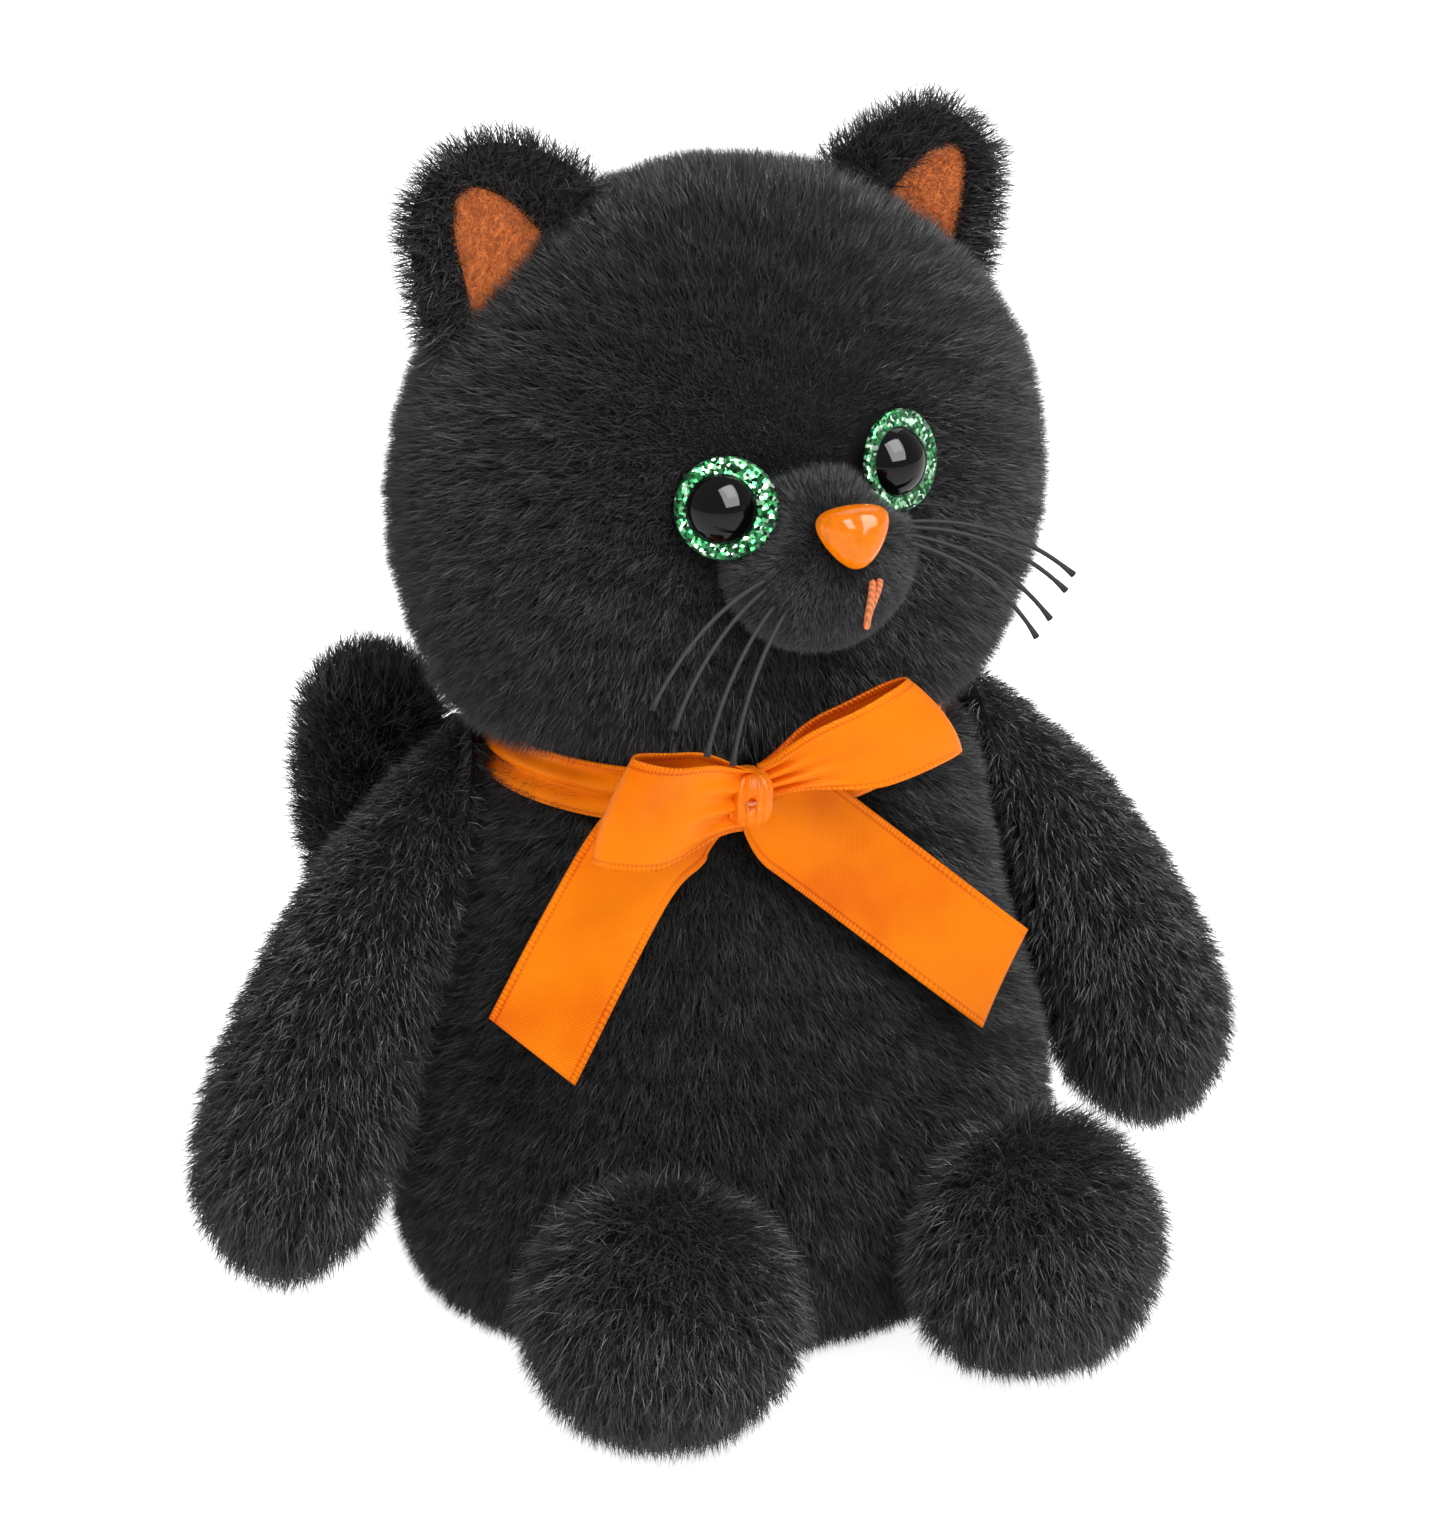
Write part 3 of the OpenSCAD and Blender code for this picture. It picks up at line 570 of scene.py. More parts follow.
def make_mesh(name: str, surface: Surface, finish: Finish, smooth: bool = True,
              uv_name: str = RIBBON_MAP) -> bpy.types.Object:
    """Object from a form that is already in the row frame.

    Args:
        name: the piece's name.
        surface: the form, in millimetres.
        finish: its finish.
        smooth: whether its faces shade smoothly.
        uv_name: name of its map, if the form has one.

    Returns:
        The new object, at the origin.
    """
    mesh = bpy.data.meshes.new(name)
    q, t = surface.quads, surface.tris
    corners = np.concatenate([q.ravel(), t.ravel()]).astype(np.int32)
    counts = np.concatenate([np.full(len(q), 4), np.full(len(t), 3)]).astype(np.int32)
    mesh.vertices.add(len(surface.points))
    mesh.vertices.foreach_set("co", (surface.points * MM).astype(np.float32).ravel())
    mesh.loops.add(len(corners))
    mesh.loops.foreach_set("vertex_index", corners)
    mesh.polygons.add(len(counts))
    mesh.polygons.foreach_set("loop_start", (np.cumsum(counts) - counts).astype(np.int32))
    mesh.polygons.foreach_set("use_smooth", np.full(len(counts), smooth))
    mesh.update(calc_edges=True)
    if surface.uv is not None:
        layer = mesh.uv_layers.new(name=uv_name)
        layer.data.foreach_set("uv", surface.uv[corners].astype(np.float32).ravel())
    mesh.materials.append(finish.make())
    obj = bpy.data.objects.new(name, mesh)
    bpy.context.scene.collection.objects.link(obj)
    return obj


def swirl(points: Array, size: float, seed: float) -> Array:
    """Slow change of direction over a surface: three waves of unlike heading for each component.

    Args:
        points: places, in millimetres.
        size: length of the longest wave, in millimetres.
        seed: shifts the waves, so that pieces differ.

    Returns:
        One direction for each place, with components from about -1 to 1.
    """
    total = np.zeros_like(points)
    for k, (length, a, b) in enumerate(((1.0, 0.4, 1.1), (0.62, 2.1, 0.3), (0.41, 4.4, 2.0))):
        head = np.array([math.cos(a) * math.cos(b), math.sin(a) * math.cos(b), math.sin(b)])
        phase = points @ head * (2 * math.pi / (size * length)) + seed * (k + 1)
        total += np.stack([np.sin(phase), np.sin(phase * 1.13 + 2.1), np.sin(phase * 0.87 + 4.2)], -1)
    return total / 3


@dataclass(frozen=True)
class Pile:
    """How a fur's fibres stand, in millimetres and shares."""

    length: float
    density: float  # fibres to a square millimetre
    lie: float = 0.35  # how far they lie over along the comb
    jitter: float = 0.3
    clump: float = 0.3
    width: float = 0.17
    curl: float = 0.0  # over 0, a fibre has a bend in it and droops
    most: int = 190_000  # triangles in one piece


Comb = Callable[[Array, Array], Array]
Mask = Callable[[Array], Array]


@dataclass
class FurCoat:
    """Scatters a pile over a skin and makes its fibres as small pointed blades."""

    name: str
    pile: Pile
    finish: FurFinish
    slot: str
    body: str
    seed: int

    def grow(self, skin: Surface, comb: Comb, keep: Optional[Mask] = None,
             reach: Optional[Mask] = None) -> list[bpy.types.Object]:
        """Grows the coat.

        Roots lie at random on the skin's triangles in proportion to their area. A fibre runs along
        normal + lie x comb + chance + swirl. A straight fibre is one triangle; a curled one is a
        quad and a tip that bends on towards the comb and down.

        Args:
            skin: the form that the roots stand on, in the row frame.
            comb: gives the direction of the lie from places and normals.
            keep: true where fibres grow, from places.
            reach: length share, from places.

        Returns:
            The pieces of the coat.
        """
        rng = np.random.default_rng(self.seed)
        tris, normals = skin.triangles(), skin.normals()
        a, b, c = (skin.points[tris[:, k]] for k in range(3))
        area = np.linalg.norm(np.cross(b - a, c - a), axis=1) / 2
        count = int(area.sum() * self.pile.density)
        pick = rng.choice(len(tris), count, p=area / area.sum())
        r, s = np.sqrt(rng.random(count)), rng.random(count)
        shares = np.stack([1 - r, r * (1 - s), r * s], 1)[..., None]
        root = (skin.points[tris[pick]] * shares).sum(1)
        normal = unit((normals[tris[pick]] * shares).sum(1))
        chance, tone = rng.random((count, 2)), rng.random(count)
        wild = rng.normal(size=(count, 3))
        turned = rng.normal(size=(count, 3))
        if keep is not None:
            on = keep(root)
            draws = (root, normal, chance, tone, wild, turned)
            root, normal, chance, tone, wild, turned = (v[on] for v in draws)
        length = self.pile.length * (0.75 + 0.5 * chance[:, 0])
        if reach is not None:
            length = length * reach(root)
        lay = comb(root, normal)
        lay = unit(lay - (lay * normal).sum(1, keepdims=True) * normal)
        p = self.pile
        way = unit(normal + p.lie * lay + p.jitter * wild + p.clump * swirl(root, 9.0, self.seed))
        across = unit(np.cross(way, turned))
        half = across * (p.width * (0.8 + 0.4 * chance[:, 1]) / 2)[:, None]
        length = length[:, None]
        if p.curl > 0:
            tip_way = unit(way + p.curl * (lay + 0.5 * DOWN + 0.4 * wild))
            middle = root + way * length * 0.5
            tip = middle + tip_way * length * 0.5
            points = np.stack([root - half, root + half, middle - half * 0.8, middle + half * 0.8, tip], 1)
            rise = np.array([0, 0, 0.5, 0.5, 1.0])
            faces = (np.array([[0, 1, 3, 2]]), np.array([[2, 3, 4]]))
            weight = 3
        else:
            points = np.stack([root - half, root + half, root + way * length], 1)
            rise = np.array([0, 0, 1.0])
            faces = (np.zeros((0, 4), int), np.array([[0, 1, 2]]))
            weight = 1
        return self.pieces(points, rise, faces, tone, weight)

    def pieces(self, points: Array, rise: Array, faces: tuple[Array, Array], tone: Array,
               weight: int) -> list[bpy.types.Object]:
        """Cuts the fibres into pieces small enough and makes each one's object."""
        parts = max(1, math.ceil(len(points) * weight / self.pile.most))
        made = []
        for k, rows in enumerate(np.array_split(np.arange(len(points)), parts)):
            block = points[rows]
            n, per = block.shape[:2]
            first = (np.arange(n) * per)[:, None, None]
            uv = np.stack([np.repeat(tone[rows], per), np.tile(rise, n)], 1)
            form = Surface(block.reshape(-1, 3), (faces[0][None] + first).reshape(-1, 4),
                           (faces[1][None] + first).reshape(-1, 3), uv)
            name = f"{self.name}_{k + 1}" if parts > 1 else self.name
            obj = make_mesh(name, form, self.finish, smooth=False, uv_name=FUR_MAP)
            made.append(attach(obj, self.body))
        LOG.info("%s: %d fibres in %d pieces", self.name, len(points), parts)
        return made


# ---- the cat ----

HEAD = Place.at(0, 0, 0, turn(Axis.Z, 3))


@dataclass(frozen=True)
class Stack:
    """A form of level ovals, each with its own depth in front of and behind the middle."""

    half_width: float
    front: float
    back: float
    low: float
    height: float
    stations: Sequence[Sequence[float]]
    rings: int = 60
    around: int = 72

    def surface(self) -> Surface:
        """Rings at the smoothed stations' heights, as wide as their shares of the widest."""
        rows = smooth_rows(self.stations, self.rings)
        t = 2 * math.pi * np.arange(self.around) / self.around
        share = rows[:, 1:2]
        depth = np.where(np.sin(t) < 0, self.front, self.back)
        x = share * self.half_width * np.cos(t)
        y = share * depth * np.sin(t)
        z = np.broadcast_to(self.low + rows[:, :1] * self.height, x.shape)
        return closed_tube(np.stack([x, y, z], -1))


@dataclass
class Torso:
    """The body's bag: a stack of ovals in straight plush, combed down."""

    pile: Pile = Pile(3.6, 9.5, lie=0.55, jitter=0.28, clump=0.35)
    inset: float = 2.9
    form: Stack = Stack(57, 46, 44.5, 0, 103, [
        [0, 0.835], [0.012, 0.915], [0.04, 0.965], [0.13, 1.02], [0.27, 1.035], [0.42, 0.9902], [0.62, 0.88],
        [0.78, 0.82], [0.9, 0.775], [0.96, 0.73], [0.985, 0.67], [1, 0.5]])

    def build(self) -> None:
        """Makes the skin and its coat, bare underneath where it sits."""
        skin = self.form.surface().grown(-self.inset)
        skin.points[:, 2] = np.maximum(skin.points[:, 2], 0.6)
        base = make_mesh("body_skin", skin, BACKING)
        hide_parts("body_front_panel", "body_back_panel", "seat_panel")
        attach(base, "torso")
        coat = FurCoat("body_fur", self.pile, FACE_FUR, "black_plush", "torso", 11)
        coat.grow(skin, lambda p, n: np.broadcast_to(DOWN, p.shape), keep=lambda p: p[:, 2] > 1.5,
                  reach=lambda p: 0.7 + 0.3 * smooth_step(2, 8, p[:, 2]))


@dataclass
class Head:
    """The head's bag, combed away from the nose, bare under the eyes."""

    pile: Pile = Pile(3.7, 10.5, lie=0.5, jitter=0.28, clump=0.32)
    inset: float = 2.9
    nose: tuple[float, float, float] = (0.0, -40.0, 146.0)
    form: Stack = Stack(56, 38, 44, 104.5, 90.5, [
        [-0.055, 0.4], [-0.04, 0.6], [-0.01, 0.74], [0.03, 0.82], [0.07, 0.87], [0.12, 0.905], [0.18, 0.94],
        [0.28, 0.985],
        [0.38, 1], [0.5, 0.985], [0.64, 0.92], [0.78, 0.762], [0.9, 0.535], [0.97, 0.31], [1, 0.06]])

    def build(self) -> None:
        """Makes the skin and its coat."""
        skin = self.form.surface().grown(-self.inset).placed(HEAD)
        Eye.make_room(skin.points)
        base = make_mesh("head_skin", skin, BACKING)
        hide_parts("head_face_panel", "head_back_panel")
        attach(base, "head")
        nose = HEAD.point(np.array(self.nose))
        coat = FurCoat("head_fur", self.pile, FACE_FUR, "black_plush", "head", 23)
        coat.grow(skin, lambda p, n: unit(p - nose) + 0.35 * DOWN, keep=self.open_fur, reach=self.reach)

    @staticmethod
    def open_fur(p: Array) -> Array:
        """True away from the eyes' discs."""
        near = np.full(len(p), False)
        for side in Side:
            q = (p - Eye.place(side).origin) @ Eye.place(side).axes
            near |= (np.hypot(q[:, 0], q[:, 1]) < Eye.bare_r) & (np.abs(q[:, 2]) < 12)
        return ~near

    def reach(self, p: Array) -> Array:
        """Shorter pile round the nose and the eyes."""
        away = np.linalg.norm(p - HEAD.point(np.array(self.nose)), axis=1)
        return 0.5 + 0.5 * smooth_step(20, 46, away)


@dataclass
class Muzzle:
    """The short-piled muzzle: half an ellipsoid out of the face."""

    half_width: float = 14.6
    out: float = 11.6
    half_height: float = 14.6
    top_share: float = 0.83  # height above the middle, as a share of the height below it
    comb_up: float = 7.0  # how far above its middle the pile parts
    y: float = -37.0
    z: float = 140.97
    foot: tuple[tuple[float, float], ...] = ((-6, 0.99), (-2.5, 1.0), (0, 1.0), (2, 0.985), (3.4, 0.965))
    pile: Pile = Pile(1.6, 26, lie=0.7, jitter=0.3, clump=0.25, width=0.13)

    def build(self) -> None:
        """Rings round the axis that points forwards: a foot of given depths and shares, then an
        ellipse's cosine, flatter above the middle than below it."""
        a = np.linspace(0.33, math.pi / 2 - 0.04, 24)
        dome = np.stack([self.out * np.sin(a), np.cos(a)], 1)
        rows = np.concatenate([smooth_rows(self.foot, 10), dome])
        t = 2 * math.pi * np.arange(56)[None, :] / 56
        x = self.half_width * rows[:, 1:] * np.cos(t)
        tall = np.where(np.sin(t) > 0, self.top_share, 1.0)
        z = self.z + self.half_height * rows[:, 1:] * np.sin(t) * tall
        y = self.y - rows[:, :1] + 0 * t
        skin = closed_tube(np.stack([x, y, z], -1)).placed(HEAD)
        Eye.make_room(skin.points)
        base = make_mesh("muzzle_skin_pile", skin, BACKING)
        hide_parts("muzzle_skin", "muzzle_stuffing")
        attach(base, "head")
        nose = HEAD.point(np.array([0, self.y - self.out, self.z + self.comb_up]))
        coat = FurCoat("muzzle_fur", self.pile, MUZZLE_FUR, "black_short_plush", "head", 31)
        coat.grow(skin, lambda p, n: unit(p - nose), keep=Head.open_fur, reach=self.reach)

    def reach(self, p: Array) -> Array:
        """Longer pile at the foot, where it meets the face's."""
        depth = self.y - ((p - HEAD.origin) @ HEAD.axes)[:, 1]
        return 0.9 + 0.35 * smooth_step(6, 0, depth)


@dataclass
class Eye:
    """A safety eye: a glitter disc under a clear rim, with a black dome in the middle."""

    side: Side
    iris_r: float = 8.0
    iris_t: float = 1.2
    pupil_r: float = 5.5
    pupil_h: float = 3.4
    pupil_aside: float = -0.8
    bare_r: float = 7.7  # no pile stands nearer the eye's middle
    middle: tuple[float, float, float] = (-0.6, -35.78, 151.7)  # half way between the two eyes
    apart: tuple[float, float, float] = (14.5, 0.08, 1.9)  # from there to the left one
    outward: float = 22.0
    upward: float = 80.0

    @classmethod
    def place(cls, side: Side) -> Place:
        """The eye's frame: +Z looks out of the face. The left one sits higher, as it was sewn."""
        x, y, z = (side.value * a + m for a, m in zip(cls.apart, cls.middle))
        own = Place.at(x, y, z, turn(Axis.Z, side.value * cls.outward), turn(Axis.X, cls.upward))
        return own.inside(HEAD)

    @classmethod
    def make_room(cls, points: Array) -> None:
        """Presses a skin's points back behind the eyes' discs, with a soft edge.

        Args:
            points: the skin's points in the row frame, changed in place.
        """
        for side in Side:
            place = cls.place(side)
            q = (points - place.origin) @ place.axes
            near = 1 - smooth_step(cls.iris_r, cls.iris_r + 2.2, np.hypot(q[:, 0], q[:, 1]))
            over = np.where((q[:, 2] > -0.8) & (q[:, 2] < 20), q[:, 2] + 0.8, 0)
            points -= (near * over)[:, None] * place.axes[:, 2]

    def build(self) -> None:
        """Makes the disc with its rounded rim, and the dome with its rounded foot."""
        r, t = self.iris_r, self.iris_t
        a = np.linspace(0, math.pi / 2, 7)
        rim = np.stack([r - 0.6 + 0.6 * np.cos(a), t - 0.6 + 0.6 * np.sin(a)], 1)
        low = np.array([[0.2, -0.3], [r - 0.4, -0.3], [r, 0.1]])
        flat = np.stack([np.linspace(r - 0.8, 0.2, 8), np.full(8, t)], 1)
        place = self.place(self.side)
        word = self.side.word
        plate = turned(np.concatenate([low, rim, flat]), 64).placed(place)
        disc = make_mesh(f"iris_{word}_glitter", plate, IRIS)
        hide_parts(f"iris_{word}")
        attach(disc, "head")
        cap = (self.pupil_r**2 + self.pupil_h**2) / (2 * self.pupil_h)
        b = np.linspace(math.asin(self.pupil_r / cap) * 0.985, 0.01, 22)
        dome = np.stack([cap * np.sin(b), t + self.pupil_h - cap + cap * np.cos(b)], 1)
        foot = np.array([[0.2, t - 0.5], [self.pupil_r, t - 0.5], [self.pupil_r, t]])
        seat = Place.at(self.pupil_aside, 0, 0).inside(place)
        cover = turned(np.concatenate([foot, dome]), 64).placed(seat)
        ball = make_mesh(f"pupil_{word}_dome", cover, PUPIL)
        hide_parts(f"pupil_{word}")
        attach(ball, "head")


@dataclass
class Nose:
    """The glossy nose: a rounded triangle, wide at the top, with a soft ridge."""

    width: float = 11.6
    height: float = 9.8
    depth: float = 4.4
    seat: tuple[float, float, float] = (0, -48.7, 147.9)
    tilt: float = 68.0

    def outline(self, count: int) -> Array:
        """Rounded triangle: three sides drawn as waves of one, two and three beats round an oval."""
        t = 2 * math.pi * np.arange(count) / count
        x = self.width / 2 * np.cos(t) * (1 + 0.24 * np.sin(t)) / 1.02
        y = self.height / 2 * (np.sin(t) + 0.13 * np.cos(2 * t) - 0.02)
        return np.stack([x, y], 1)

    def build(self) -> None:
        """Rings of the outline, drawn in as a dome, with two low nostril cheeks."""
        edge = self.outline(48)
        a = np.linspace(0, math.pi / 2 - 0.03, 16)
        share = np.cos(a) ** 0.75
        rise = np.sin(a) ** 0.9
        rings = np.concatenate([share[:, None, None] * edge[None],
                                np.broadcast_to((self.depth * rise)[:, None, None], (16, 48, 1))], -1)
        foot = np.concatenate([edge * 0.95, np.full((48, 1), -0.8)], 1)[None]
        form = closed_tube(np.concatenate([foot, rings]))
        p = form.points
        cheeks = np.exp(-(((np.abs(p[:, 0]) - 2.6) / 1.7) ** 2) - ((p[:, 1] - 0.8) / 2.2) ** 2)
        p[:, 2] += 0.45 * cheeks * (p[:, 2] > 1)
        place = Place.at(*self.seat, turn(Axis.X, self.tilt)).inside(HEAD)
        obj = make_mesh("nose_button", form.placed(place), NOSE)
        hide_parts("nose")
        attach(obj, "head")


@dataclass
class Mouth:
    """The stitched mouth: two plies of thread that start apart under the nose and join."""

    top: float = 140.2
    length: float = 9.0
    radius: float = 0.55
    aside: float = 3.7
    proud: float = 1.35  # how far the thread stands off the skin, through the pile

    def build(self) -> None:
        """Each ply runs down the muzzle's curve, turning half round the other."""
        muzzle = Muzzle()
        s = np.linspace(0, 1, 30)
        up = self.top - self.length * s - muzzle.z
        side_share = self.aside / muzzle.half_width
        y = muzzle.y - muzzle.out * np.sqrt(1 - (up / muzzle.half_height) ** 2 - side_share**2) - self.proud
        spread = 0.34 * (1 - smooth_step(0.05, 0.7, s)) + 0.34
        bow = self.aside - 0.9 * np.sin(math.pi * s) * s
        for k, sign in enumerate((-1, 1)):
            twist = math.pi * 0.45 * s * sign
            x = bow + spread * np.cos(twist + (k * math.pi)) * 0.9
            path = np.stack([x, y - 0.2 * np.sin(twist), muzzle.z + up], 1)
            r = round_ends(self.length * s, self.length, np.full(30, self.radius))
            tube = swept(path, np.maximum(r, 0.1), 12, np.array([0, 1, 0.02])).placed(HEAD)
            obj = make_mesh(f"mouth_ply_{k + 1}", tube, THREAD)
            if k == 0:
                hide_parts("mouth_stitch")
            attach(obj, "head")


@dataclass
class Whiskers:
    """Four stiff bristles on a side, bending down, each with a thicker cut end."""

    side: Side
    length: float = 30.0
    radius: float = 0.43
    curl: float = 46.0
    shorter: float = 0.04  # each one is shorter by this share than the one above it
    steps: int = 22
    foot: float = 14.5  # half width of the muzzle's foot
    forward: float = 12.0
    root: tuple[float, float] = (-38.25, 140.97)  # depth and height of the muzzle's middle
    sunk: float = 1.2
    near: tuple[tuple[float, float, float, float], ...] = (  # share forward, height, outward, fall
        (0.46, -0.5, 24, 6), (0.46, -1.8, 28, 13), (0.5, -4.5, 34, 21), (0.58, -5.5, 38, 26))
    far: tuple[tuple[float, float, float, float], ...] = (
        (0.28, 4.6, 14, -1.5), (0.34, 4.0, 17, 2), (0.42, 3.2, 21, 10), (0.5, 2.4, 25, 15))

    def build(self) -> None:
        """Sums small steps whose fall grows evenly along the bristle."""
        forms = []
        rows = self.near if self.side is Side.RIGHT else self.far
        for order, (share, height, outward, fall) in enumerate(rows):
            s = np.linspace(0, 1, self.steps)
            angle = np.radians(fall + self.curl * s)
            step = self.length * (1 - self.shorter * order) / (self.steps - 1)
            level = np.concatenate([[0], np.cumsum(np.cos(angle[:-1]))]) * step
            drop = np.concatenate([[0], np.cumsum(np.sin(angle[:-1]))]) * step
            x0 = self.foot * math.sqrt(1 - share**2 - (height / self.foot) ** 2) - self.sunk
            out = math.radians(outward)
            y0, z0 = self.root[0] - self.forward * share, self.root[1] + height
            path = np.stack([x0 + level * math.cos(out), y0 - level * math.sin(out), z0 - drop], 1)
            r = self.radius * (0.85 + 0.45 * smooth_step(0.93, 0.98, s))
            forms.append(swept(path, r, 8, np.array([0, 1, 0.02])))
        form = joined(forms).placed(Place.at(0, 0, 0).mirrored(self.side).inside(HEAD))
        obj = make_mesh(f"whiskers_{self.side.word}_bristles", form, BRISTLE)
        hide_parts(f"whiskers_{self.side.word}")
        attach(obj, "head")


def joined(forms: Sequence[Surface]) -> Surface:
    """Several forms as one."""
    starts = np.cumsum([0] + [len(f.points) for f in forms[:-1]])
    return Surface(np.concatenate([f.points for f in forms]),
                   np.concatenate([f.quads + k for f, k in zip(forms, starts)]),
                   np.concatenate([f.tris + k for f, k in zip(forms, starts)]))


@dataclass
class Ear:
    """A furred ear with a fleece lining in its front."""

    side: Side
    pile: Pile = Pile(4.6, 6.5, lie=0.55, jitter=0.34, clump=0.35, curl=0.35)
    back_t: float = 3.2
    front_t: float = 2.0
    root: tuple[float, float, float] = (34.16, 1.6, 185.57)
    left_shift: tuple[float, float] = (-2.6, 0.4)  # across and up
    right_shift: tuple[float, float] = (0.0, 1.4)
    lean: float = 36.0
    outline: tuple[tuple[float, float, float], ...] = (  # height, inner edge, outer edge
        (-10, -12.5, 23.5), (-5, -13, 22), (0, -12.6, 19.8), (5, -10.8, 17.2), (9, -8.4, 15),
        (12, -5.8, 12.6), (14, -2.6, 9.6), (14.8, 0.6, 6))
    lining: tuple[tuple[float, float, float], ...] = (
        (-10, 9.5, 15.5), (-7, 3.5, 15), (-4, -2.2, 13.8), (0, -2.4, 12), (5, -1.4, 9.6), (8.6, 0.4, 7.4),
        (10.4, 2.2, 5.4))

    def place(self) -> Place:
        """The ear's frame: +X down its base to the outside, +Z up it; the right one sits further out."""
        across, up = self.right_shift if self.side is Side.RIGHT else self.left_shift
        x, y, z = self.root
        own = Place.at(x + across, y, z + up, turn(Axis.Y, self.lean))
        return own.mirrored(self.side).inside(HEAD)

    @staticmethod
    def pad(rows: Sequence[Sequence[float]], front: float, back: float, count: int = 22) -> Surface:
        """Flat pad: ovals between two edge lines, with a rounded front and back of set thickness."""
        r = smooth_rows(rows, count)
        t = 2 * math.pi * np.arange(32)[None, :] / 32
        middle, half = (r[:, 1:2] + r[:, 2:3]) / 2, (r[:, 2:3] - r[:, 1:2]) / 2
        full = np.sqrt(np.clip(half / half.max(), 0.15, 1))
        deep = np.where(np.sin(t) < 0, front, back)
        x = middle + half * np.cos(t)
        y = full * deep * np.sin(t)
        return closed_tube(np.stack([x, y, np.broadcast_to(r[:, :1], x.shape)], -1))

    def build(self) -> None:
        """Makes the furred pad, its coat, the lining and the lining's nap."""
        word, body = self.side.word, f"{self.side.word}_ear"
        place = self.place()
        skin = self.pad(self.outline, self.front_t, self.back_t).placed(place)
        base = make_mesh(f"ear_{word}_skin", skin, BACKING)
        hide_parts(f"ear_{word}_fur")
        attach(base, body)
        up, out = place.way(np.array([0, 0, 1.0])), place.way(np.array([1.0, 0, 0]))

        def comb(p: Array, n: Array) -> Array:
            """Up the ear and out to its edges."""
            q = (p - place.origin) @ place.axes
            return up + out * (q[:, :1] - 2) / 14

        def clear(p: Array) -> Array:
            """True off the lining's face."""
            q = (p - place.origin) @ place.axes
            rows = smooth_rows(self.lining, 30)
            left = np.interp(q[:, 2], rows[:, 0], rows[:, 1], left=9, right=9)
            right = np.interp(q[:, 2], rows[:, 0], rows[:, 2], left=-9, right=-9)
            return ~((q[:, 1] < -0.4) & (q[:, 0] > left + 0.4) & (q[:, 0] < right - 0.4))

        coat = FurCoat(f"ear_{word}_pile", self.pile, LONG_FUR, "black_plush", body, 41 + self.side.value)
        coat.grow(skin, comb, keep=clear)
        lining = self.pad(self.lining, 1.7, 0.6).placed(place)
        lining.points += place.way(np.array([0, -1.1, 0]))
        panel = make_mesh(f"ear_{word}_fleece", lining, FLEECE)
        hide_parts(f"ear_{word}_lining")
        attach(panel, body)
        nap = FurCoat(f"ear_{word}_nap", Pile(0.8, 20, lie=0.4, jitter=0.5, width=0.14), FLEECE_FUR,
                      "orange_fleece", body, 61 + self.side.value)
        nap.grow(lining, comb)


@dataclass
class Arm:
    """An arm hanging by the body's side, with a fluffy paw."""

    side: Side
    pile: Pile = Pile(5.0, 4.6, lie=0.6, jitter=0.32, clump=0.4, curl=0.45)
    inset: float = 3.6
    shoulder: tuple[float, float, float] = (45.83, 3, 83)
    out_lean: float = -14.5
    front_lean: float = -7.0
    paw: tuple[float, float, float] = (18.0, 0.0, -58.0)
    stations: tuple[tuple[float, float, float], ...] = (  # out, height, radius
        (-1, 21.5, 0.8), (-0.6, 20, 6), (1.2, 14, 10.2), (4.4, 4, 13.6), (8.2, -6, 15.8), (11.6, -17, 17),
        (14.5, -29, 17.6), (16.7, -42, 18), (17.9, -54, 17.9), (18.2, -63, 16.4), (18.2, -70, 12.8),
        (18.1, -75, 8), (18, -77.3, 3.6), (18, -78, 0.6))

    def place(self) -> Place:
        """The arm's frame: -Z runs down it, +X out of its flat inner side."""
        own = Place.at(*self.shoulder, turn(Axis.Y, self.out_lean), turn(Axis.X, self.front_lean))
        return own.mirrored(self.side)

    def surface(self) -> Surface:
        """Level circles on a line that curves outwards, pressed flat against the body."""
        rows = smooth_rows(self.stations, 60)
        t = 2 * math.pi * np.arange(44)[None, :] / 44
        x = np.maximum(rows[:, :1] + rows[:, 2:] * np.cos(t), -0.5)
        y = rows[:, 2:] * np.sin(t)
        z = np.broadcast_to(rows[:, 1:2], x.shape)
        return closed_tube(np.stack([x, y, z], -1)[::-1])

    def build(self) -> None:
        """Makes the skin and its coat, combed down to the paw."""
        word, body = self.side.word, f"{self.side.word}_arm"
        place = self.place()
        skin = self.surface().grown(-self.inset).placed(place)
        base = make_mesh(f"arm_{word}_backing", skin, BACKING)
        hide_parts(f"arm_{word}_skin", f"arm_{word}_stuffing")
        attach(base, body)
        along = place.way(np.array([0, 0, -1.0]))
        paw = place.point(np.array(self.paw))
        coat = FurCoat(f"arm_{word}_fur", self.pile, LONG_FUR, "black_plush", body, 71 + self.side.value)
        coat.grow(skin, lambda p, n: along + 0 * p,
                  reach=lambda p: 0.72 + 0.33 * smooth_step(45, 12, np.linalg.norm(p - paw, axis=1)))


